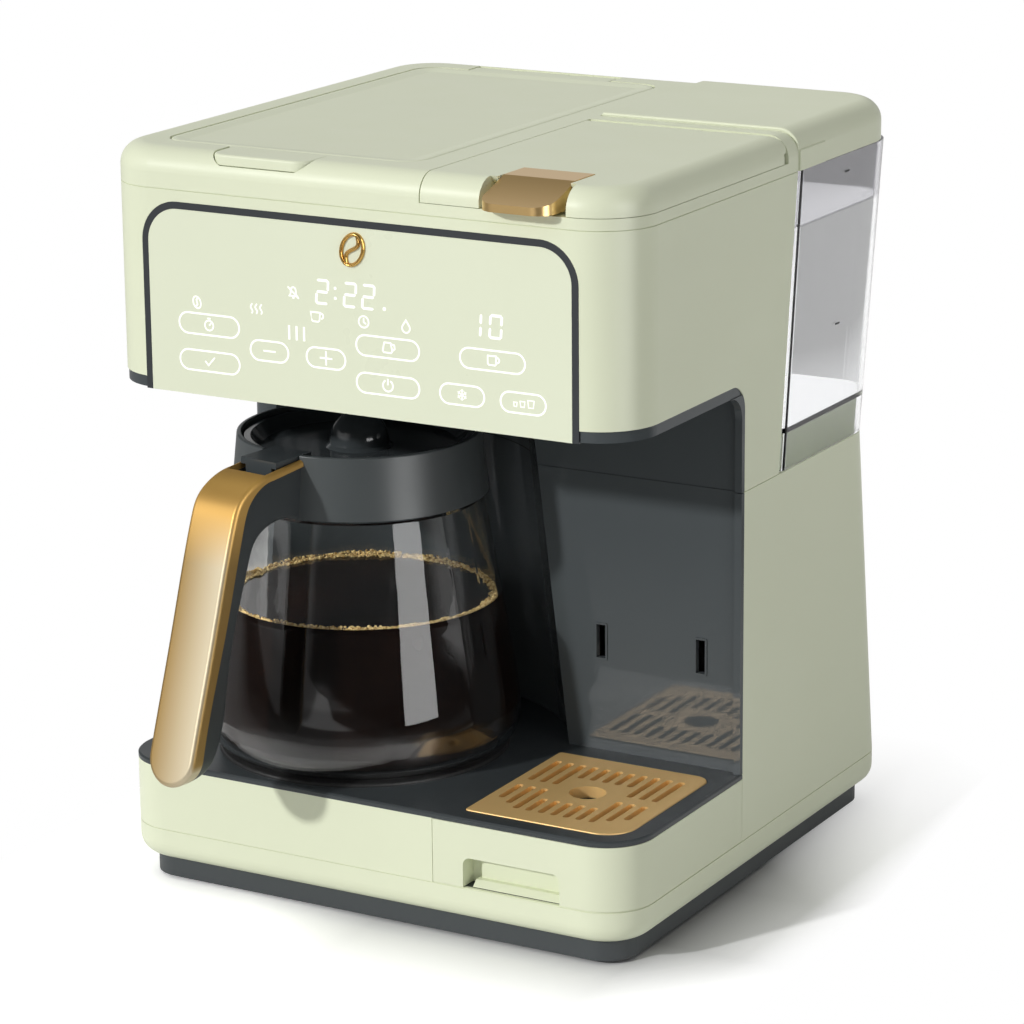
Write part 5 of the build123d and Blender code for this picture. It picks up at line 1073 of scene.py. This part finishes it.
@dataclass
class PanelPrint:
    """White print on the control panel: key outlines, plain signs and numbers."""

    face_y: float = -146.5
    thickness: float = 0.06
    line: float = 0.9
    digit_line: float = 1.3
    digit_gap: float = 0.55
    digit_lean: float = 0.06
    pills: tuple[Box, ...] = (
        (-97.7, -63.9, 283.1, 293.1), (-97.8, -64.1, 265.4, 275.2), (-57.8, -36.7, 274.1, 283.7),
        (-26.7, -5.4, 274.1, 283.6), (0.6, 34.5, 282.6, 292.2), (0.5, 34.3, 264.9, 274.4),
        (56.0, 90.0, 282.6, 292.1), (45.2, 68.6, 264.8, 274.3), (77.1, 100.6, 264.5, 274.0))
    labels: tuple[tuple[Sign, float, float], ...] = (
        (Sign.BEAN, -87.3, 298.4), (Sign.STEAM, -54.0, 298.6), (Sign.CUP, -21.0, 298.4),
        (Sign.CLOCK, 4.9, 298.4), (Sign.DROP, 27.6, 298.4))
    key_signs: tuple[tuple[Sign, float, float], ...] = (
        (Sign.TIMER, -80.8, 288.1), (Sign.TICK, -81.0, 270.3), (Sign.MINUS, -47.2, 278.9),
        (Sign.PLUS, -16.0, 278.9), (Sign.CARAFE, 17.5, 287.4), (Sign.POWER, 17.4, 269.7),
        (Sign.MUG, 73.0, 287.4), (Sign.FLAKE, 56.9, 269.6), (Sign.SIZES, 88.8, 269.3))
    clock_digits: tuple[tuple[str, float], ...] = (("2", -21.4), ("2", -6.3), ("2", 3.6))
    clock_bottom: float = 304.2
    clock_digit_size: Point2 = (7.4, 12.2)
    clock_dots: tuple[Point3, ...] = ((-10.2, 308.0, 0.75), (-10.2, 312.7, 0.75),
                                      (16.2, 305.6, 0.9))
    size_digits: tuple[tuple[str, float, float], ...] = (("1", 61.2, 6.2), ("0", 71.0, 7.2))
    size_bottom: float = 297.4
    size_height: float = 11.6
    strength_bars: tuple[float, ...] = (-36.0, -31.9, -27.8)
    bar_ends: Point2 = (285.8, 292.6)
    bar_width: float = 1.1

    def sheet(self) -> FlatPrint:
        """Start an empty print on the panel."""
        return FlatPrint(self.face_y, self.thickness)

    def pill(self, box: Box) -> Stroke:
        """Give a key's outline with round ends.

        Args:
            box: left, right, bottom and top.

        Returns:
            The outline as a closed line.
        """
        left, right, bottom, top = box
        radius = (top - bottom) / 2
        middle = (top + bottom) / 2
        points = [*arc((right - radius, middle), (radius, radius), -90, 90, 14),
                  *arc((left + radius, middle), (radius, radius), 90, 270, 14)]
        return Stroke(points, self.line, closed=True)

    def digit(self, sheet: FlatPrint, number: str, left: float, bottom: float,
              width: float, height: float) -> None:
        """Add one seven-segment number to a print.

        Args:
            sheet: the print.
            number: the number's character.
            left, bottom: its lower left corner.
            width, height: its size.
        """
        lit = {"0": "abcdef", "1": "bc", "2": "abdeg", "8": "abcdefg"}[number]
        middle = bottom + height / 2
        half = self.digit_line / 2
        right, top = left + width, bottom + height
        bars = {
            "a": ((left, top - half), (right, top - half)),
            "g": ((left, middle), (right, middle)),
            "d": ((left, bottom + half), (right, bottom + half)),
            "f": ((left + half, top), (left + half, middle)),
            "b": ((right - half, top), (right - half, middle)),
            "e": ((left + half, middle), (left + half, bottom)),
            "c": ((right - half, middle), (right - half, bottom)),
        }
        for name in lit:
            first, last = (Vector(end) for end in bars[name])
            way = (last - first).normalized()
            side = Vector((-way.y, way.x)) * half
            first, last = first + way * self.digit_gap, last - way * self.digit_gap
            ends = (first, first + way * half - side, last - way * half - side, last,
                    last - way * half + side, first + way * half + side)
            sheet.plate([(p.x + (p.y - bottom) * self.digit_lean, p.y) for p in ends])

    def finish_piece(self, sheet: FlatPrint, name: str) -> None:
        """Make a print's object, dress it and let it ride on the machine."""
        thing = sheet.piece(name)
        PRINT_WHITE.dress(thing)
        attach(thing, "machine")
        log.info("%s: %d faces", name, len(thing.data.polygons))

    def build(self) -> None:
        """Make all of the print."""
        outlines = self.sheet()
        for box in self.pills:
            outlines.line(self.pill(box))
        self.finish_piece(outlines, "key_outlines")
        for name, signs in (("key_signs", self.key_signs),
                            ("label_signs", (*self.labels, (Sign.BELL, -33.2, 308.4)))):
            sheet = self.sheet()
            for kind, x, z in signs:
                for stroke in SIGN_LINES[kind]:
                    sheet.line(stroke.moved(x, z))
                if kind is Sign.BELL:
                    sheet.dot((x, z - 2.4), 0.6)
            self.finish_piece(sheet, name)
        clock = self.sheet()
        for number, left in self.clock_digits:
            self.digit(clock, number, left, self.clock_bottom, *self.clock_digit_size)
        for x, z, radius in self.clock_dots:
            clock.dot((x, z), radius)
        self.finish_piece(clock, "clock_numbers")
        size = self.sheet()
        for number, left, width in self.size_digits:
            self.digit(size, number, left, self.size_bottom, width, self.size_height)
        self.finish_piece(size, "size_numbers")
        bars = self.sheet()
        for x in self.strength_bars:
            bars.line(Stroke([(x, z) for z in self.bar_ends], self.bar_width))
        self.finish_piece(bars, "strength_bars")


@dataclass
class BeanEmblem:
    """Raised gold coffee bean above the clock: an oval rim with an S groove line."""

    centre: Point2 = (-0.4, 331.8)
    half_width: float = 5.6
    half_height: float = 7.6
    lean: float = 24.0
    rim: float = 0.95
    rise: float = 1.6
    face_y: float = -146.5

    def tube(self, points: list[Point2], closed: bool, name: str) -> Thing:
        """Make a raised bar along a line, with a rounded front.

        Args:
            points: the line in X and Z.
            closed: whether it ends where it starts.
            name: the piece's name.

        Returns:
            The bar as an object.
        """
        curve = bpy.data.curves.new(name, "CURVE")
        curve.dimensions = "3D"
        curve.bevel_depth = self.rim * MM
        curve.bevel_resolution = 5
        spline = curve.splines.new("POLY")
        spline.points.add(len(points) - 1)
        turn = math.radians(self.lean)
        for spot, (x, z) in zip(spline.points, points):
            across = x * math.cos(turn) + z * math.sin(turn)
            up = -x * math.sin(turn) + z * math.cos(turn)
            spot.co = ((self.centre[0] + across) * MM, 0.0, (self.centre[1] + up) * MM, 1.0)
        spline.use_cyclic_u = closed
        shaped = link(name + "_line", curve)
        bpy.context.view_layer.update()
        ready = shaped.evaluated_get(bpy.context.evaluated_depsgraph_get())
        mesh = bpy.data.meshes.new_from_object(ready)
        bpy.data.objects.remove(shaped)
        mesh.transform(Matrix.Diagonal((1.0, self.rise / self.rim, 1.0, 1.0)))
        mesh.transform(Matrix.Translation((0.0, self.face_y * MM, 0.0)))
        mesh.name = name
        mesh.polygons.foreach_set("use_smooth", [True] * len(mesh.polygons))
        return link(name, mesh)

    def build(self) -> None:
        """Make the bean's rim and its groove line."""
        oval = arc((0, 0), (self.half_width, self.half_height), 0, 354, 59)
        rim = self.tube(oval, True, "bean_rim")
        steps = [step / 18 for step in range(19)]
        groove = self.tube(
            [(1.9 * math.sin(2 * math.pi * share), self.half_height * (1 - 2 * share) * 0.94)
             for share in steps], False, "bean_groove")
        for thing in (rim, groove):
            GOLD_EMBLEM.dress(thing)
            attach(thing, "machine")
        log.info("emblem: bean %.0f by %.0f mm", 2 * self.half_width, 2 * self.half_height)


@dataclass(frozen=True)
class FloorFinish(Finish):
    """Pale floor: it keeps the shadow beside the machine, darkens it with a painted shadow along
    the plinth, and turns white further out.
    """

    name: str = "pale_floor"
    seen_white: float = 1.55
    mirrored_white: float = 1.25
    plinth_side: float = 0.134
    shadow_rear: float = -0.02
    shadow_front: float = -0.1
    # How dark the painted contact shadow is at the plinth, and how fast it lightens away from it.
    darkest: float = 0.24
    aside_rate: float = 10.0
    behind_rate: float = 3.4
    before_rate: float = 8.0
    left_rate: float = 6.0
    fade_aside: float = 3.5
    fade_behind: float = 4.6
    fade_edge: Ramp = (0.044, 0.072, -0.17, 0.73)
    front_dark: Ramp = (-0.62, -0.30, 0.03, 1.0)
    front_pale: Ramp = (-1.25, -1.1, 1.0, 0.15)
    right_dark: Ramp = (0.35, 0.5, 1.0, 0.05)
    right_pale: Ramp = (0.45, 0.7, 0.0, 1.0)
    left_dark: Ramp = (-0.45, -0.25, 0.3, 1.0)

    def shader(self, wires: Wiring) -> Socket:
        """Build the nodes and give the surface's socket."""
        where = wires.where()
        x, y, _ = wires.parts(where)
        path = wires.add("LightPath").outputs
        seen = path["Is Camera Ray"]
        bounced = wires.most(path["Is Glossy Ray"], path["Is Transmission Ray"])
        cloud = wires.spread(wires.noise(where, 1.5, 2.0), 0.3, 0.7)
        pale = wires.mix(cloud, (0.76, 0.76, 0.76, 1), (0.78, 0.78, 0.78, 1))
        mirrored = wires.scaled((self.mirrored_white,) * 3, self.mirrored_shade(wires, x, y))
        # Camera rays see the floor's colour darkened by the painted contact shadow.
        shaded = wires.scaled((self.seen_white,) * 3, self.painted_contact_shadow(wires, x, y))
        colour = wires.mix(seen, wires.mix(bounced, pale, mirrored), shaded)
        paint = wires.add("BsdfDiffuse", {"Color": colour})
        plain = wires.add("Emission", {"Color": (1.0, 1.0, 1.0, 1.0)})
        return wires.add("MixShader", {0: wires.times(seen, self.fade(wires, x, y)),
                                       1: paint.outputs[0], 2: plain.outputs[0]}).outputs[0]

    def painted_contact_shadow(self, wires: Wiring, x: Socket, y: Socket) -> Socket:
        """Give the painted shadow that darkens the floor where it meets the plinth on its shadow
        side.

        Args:
            wires: the floor's wiring.
            x, y: the place on the floor.

        Returns:
            1 away from the plinth, the darkest value against its right side.
        """
        aside = wires.sum("SUBTRACT", wires.sum("ABSOLUTE", x), self.plinth_side)
        behind = wires.sum("SUBTRACT", y, self.shadow_rear)
        before = wires.sum("SUBTRACT", self.shadow_front, y)
        leftward = wires.times(x, -1.0)
        light: object = self.darkest
        for distance, rate in ((aside, self.aside_rate), (behind, self.behind_rate),
                               (before, self.before_rate), (leftward, self.left_rate)):
            light = wires.sum("MULTIPLY_ADD", wires.most(distance, 0.0), rate, light)
        return wires.sum("MINIMUM", light, 1.0)

    def fade(self, wires: Wiring, x: Socket, y: Socket) -> Socket:
        """Give how far the floor has turned plain white, away from the machine.

        Args:
            wires: the floor's wiring.
            x, y: the place on the floor.

        Returns:
            0 beside the machine, 1 where the shadow has faded out.
        """
        aside = wires.sum("SUBTRACT", wires.sum("ABSOLUTE", x), self.plinth_side)
        aside = wires.most(aside, 0.0)
        behind = wires.most(wires.sum("SUBTRACT", y, self.shadow_rear), 0.0)
        slope = wires.sum("MULTIPLY_ADD", aside, self.fade_aside,
                          wires.times(behind, self.fade_behind))
        edge = wires.spread(aside, *self.fade_edge)
        return wires.sum("ADD", slope, edge, clamp=True)

    def mirrored_shade(self, wires: Wiring, x: Socket, y: Socket) -> Socket:
        """Give how white the floor looks where the object mirrors it or shows it through.

        Args:
            wires: the floor's wiring.
            x, y: the place on the floor.

        Returns:
            1 beside the machine. It is less in a band in front, and less from a
            step away to both sides, except at the right far behind.
        """
        front = wires.most(wires.spread(y, *self.front_dark), wires.spread(y, *self.front_pale))
        right = wires.most(wires.spread(x, *self.right_dark), wires.spread(y, *self.right_pale))
        return wires.times(wires.times(front, right), wires.spread(x, *self.left_dark))


PALE_FLOOR = FloorFinish()


@dataclass
class Studio:
    """Floor, camera and lights."""

    camera_place: Point3 = (929.4, -1638.4, 692.5)
    azimuth: float = 29.5813
    pitch: float = 15.4758
    roll: float = -0.5196
    focal_pixels: float = 3898.63
    sensor: float = 36.0
    frame_pixels: float = 1024.0
    key_way: Point3 = (-0.403, -0.819, 0.408)
    key_strength: float = 1.87
    key_spread: float = 3.0
    ambient: float = 0.42
    soft_box_way: Point3 = (-0.62, -0.72, 0.3)
    soft_box: float = 0.9
    soft_box_edge: Point2 = (0.80, 0.97)
    sky_behind: Ramp = (0.3, 0.7, 0.05, 0.62)
    sky_above: Ramp = (0.45, 0.8, 1.0, 0.35)
    sky_through: Point2 = (0.0, 0.25)
    light_aside: Ramp = (-0.8, 0.8, 1.2, 0.66)
    light_above: Ramp = (0.2, 0.9, 1.0, 1.55)
    strip_place: Point3 = (1150.0, -450.0, 620.0)
    strip_size: Point2 = (560.0, 1240.0)
    strip_power: float = 12.5
    fill_place: Point3 = (820.0, -420.0, 150.0)
    fill_aim: Point3 = (142.5, -20.0, 120.0)
    fill_size: Point2 = (400.0, 300.0)
    fill_power: float = 0.35
    floor_half: float = 6000.0

    def camera(self) -> None:
        """Place the camera where the photograph was taken."""
        data = bpy.data.cameras.new("camera")
        data.sensor_width = self.sensor
        data.lens = self.focal_pixels * self.sensor / self.frame_pixels
        data.clip_start, data.clip_end = 0.05, 60.0
        cam = link("camera", data)
        turn, tip, roll = (math.radians(v) for v in (self.azimuth, self.pitch, self.roll))
        ahead = Vector((-math.sin(turn) * math.cos(tip), math.cos(turn) * math.cos(tip),
                        -math.sin(tip)))
        right = Vector((math.cos(turn), math.sin(turn), 0.0))
        up = right.cross(ahead)
        right_rolled = right * math.cos(roll) + up * math.sin(roll)
        up_rolled = up * math.cos(roll) - right * math.sin(roll)
        basis = Matrix((right_rolled, up_rolled, -ahead)).transposed().to_4x4()
        cam.matrix_world = Matrix.Translation(Vector(self.camera_place) * MM) @ basis
        bpy.context.scene.camera = cam

    def floor(self) -> None:
        """Make the pale floor, which keeps the object's shadow."""
        half = self.floor_half
        corners = [(-half, -half, 0), (half, -half, 0), (half, half, 0), (-half, half, 0)]
        floor = new_piece("floor", corners, [(0, 1, 2, 3)], smooth=False)
        PALE_FLOOR.dress(floor)

    def mirrored(self, wires: Wiring, way: Sequence[Socket]) -> Socket:
        """Give how bright the room is where glossy surfaces mirror it.

        Args:
            wires: the world's wiring.
            way: the direction's X, Y and Z.

        Returns:
            The brightness: pale behind, dark in front and above, and a soft box at
            the front left.
        """
        x, y, z = way
        behind = wires.spread(y, *self.sky_behind)
        above = wires.spread(z, *self.sky_above)
        to_box = Vector(self.soft_box_way).normalized()
        toward = wires.sum("MULTIPLY_ADD", x, to_box.x, wires.sum(
            "MULTIPLY_ADD", y, to_box.y, wires.times(z, to_box.z)))
        box = wires.spread(toward, *self.soft_box_edge, 0.0, self.soft_box)
        return wires.sum("ADD", wires.times(behind, above), box)

    def world(self) -> None:
        """White where it is seen, and a soft light, stronger at the left and above."""
        world = bpy.data.worlds.new("studio")
        bpy.context.scene.world = world
        world.use_nodes = True
        wires = Wiring(world.node_tree)
        way = wires.parts(wires.add("TexCoord").outputs["Generated"])
        path = wires.add("LightPath").outputs
        through = wires.times(path["Is Transmission Ray"],
                              wires.spread(way[1], *self.sky_through))
        bounced = wires.most(path["Is Glossy Ray"], path["Is Transmission Ray"])
        glossy = wires.times(bounced, self.mirrored(wires, way))
        seen = path["Is Camera Ray"]
        bright = wires.most(wires.most(seen, through), glossy)
        side = wires.times(wires.spread(way[0], *self.light_aside),
                           wires.spread(way[2], *self.light_above))
        plain = wires.sum("SUBTRACT", 1.0, wires.most(seen, bounced))
        diffuse = wires.times(plain, wires.times(side, self.ambient))
        sky = wires.add("Background", {"Strength": wires.sum("ADD", bright, diffuse),
                                       "Color": (1.0, 1.0, 1.0, 1.0)})
        wires.add("OutputWorld", {"Surface": sky.outputs[0]})

    def panel_light(self, name: str, place: Point3, aim: Point3, size: Point2,
                    power: float) -> Thing:
        """Place a flat lamp that no camera ray sees.

        Args:
            name: the lamp's name.
            place, aim: where it stands and what it looks at, in millimetres.
            size: its width and height.
            power: its power in watts.

        Returns:
            The lamp.
        """
        data = bpy.data.lights.new(name, "AREA")
        data.shape = "RECTANGLE"
        data.size, data.size_y = size[0] * MM, size[1] * MM
        data.energy = power
        lamp = link(name, data)
        lamp.location = Vector(place) * MM
        lamp.rotation_mode = "QUATERNION"
        lamp.rotation_quaternion = (Vector(aim) - Vector(place)).to_track_quat("-Z", "Y")
        lamp.visible_camera = False
        lamp.visible_transmission = False
        return lamp

    def lights(self) -> None:
        """Place the key light, the strip that the glass mirrors and a low fill at the right."""
        data = bpy.data.lights.new("key_light", "SUN")
        data.energy = self.key_strength
        data.angle = math.radians(self.key_spread)
        key = link("key_light", data)
        key.rotation_mode = "QUATERNION"
        key.rotation_quaternion = (-Vector(self.key_way)).to_track_quat("-Z", "Y")
        strip = self.panel_light("side_strip", self.strip_place,
                                 (*CARAFE_AXIS, self.strip_place[2]), self.strip_size,
                                 self.strip_power)
        strip.visible_diffuse = False
        fill = self.panel_light("low_fill", self.fill_place, self.fill_aim, self.fill_size,
                                self.fill_power)
        fill.visible_glossy = False

    def build(self) -> None:
        """Make the whole studio."""
        bpy.context.scene.view_settings.view_transform = "Standard"
        self.camera()
        self.floor()
        self.world()
        self.lights()
        log.info("studio ready")


def main() -> None:
    """Build every sub-assembly in order."""
    logging.basicConfig(level=logging.INFO, format="%(name)s: %(message)s")
    build_effect_groups()
    Studio().build()
    CadFinishes(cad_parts).build()
    CoffeeFill().build()
    TankWater().build()
    PanelPrint().build()
    BeanEmblem().build()


if __name__ == "__main__":
    main()
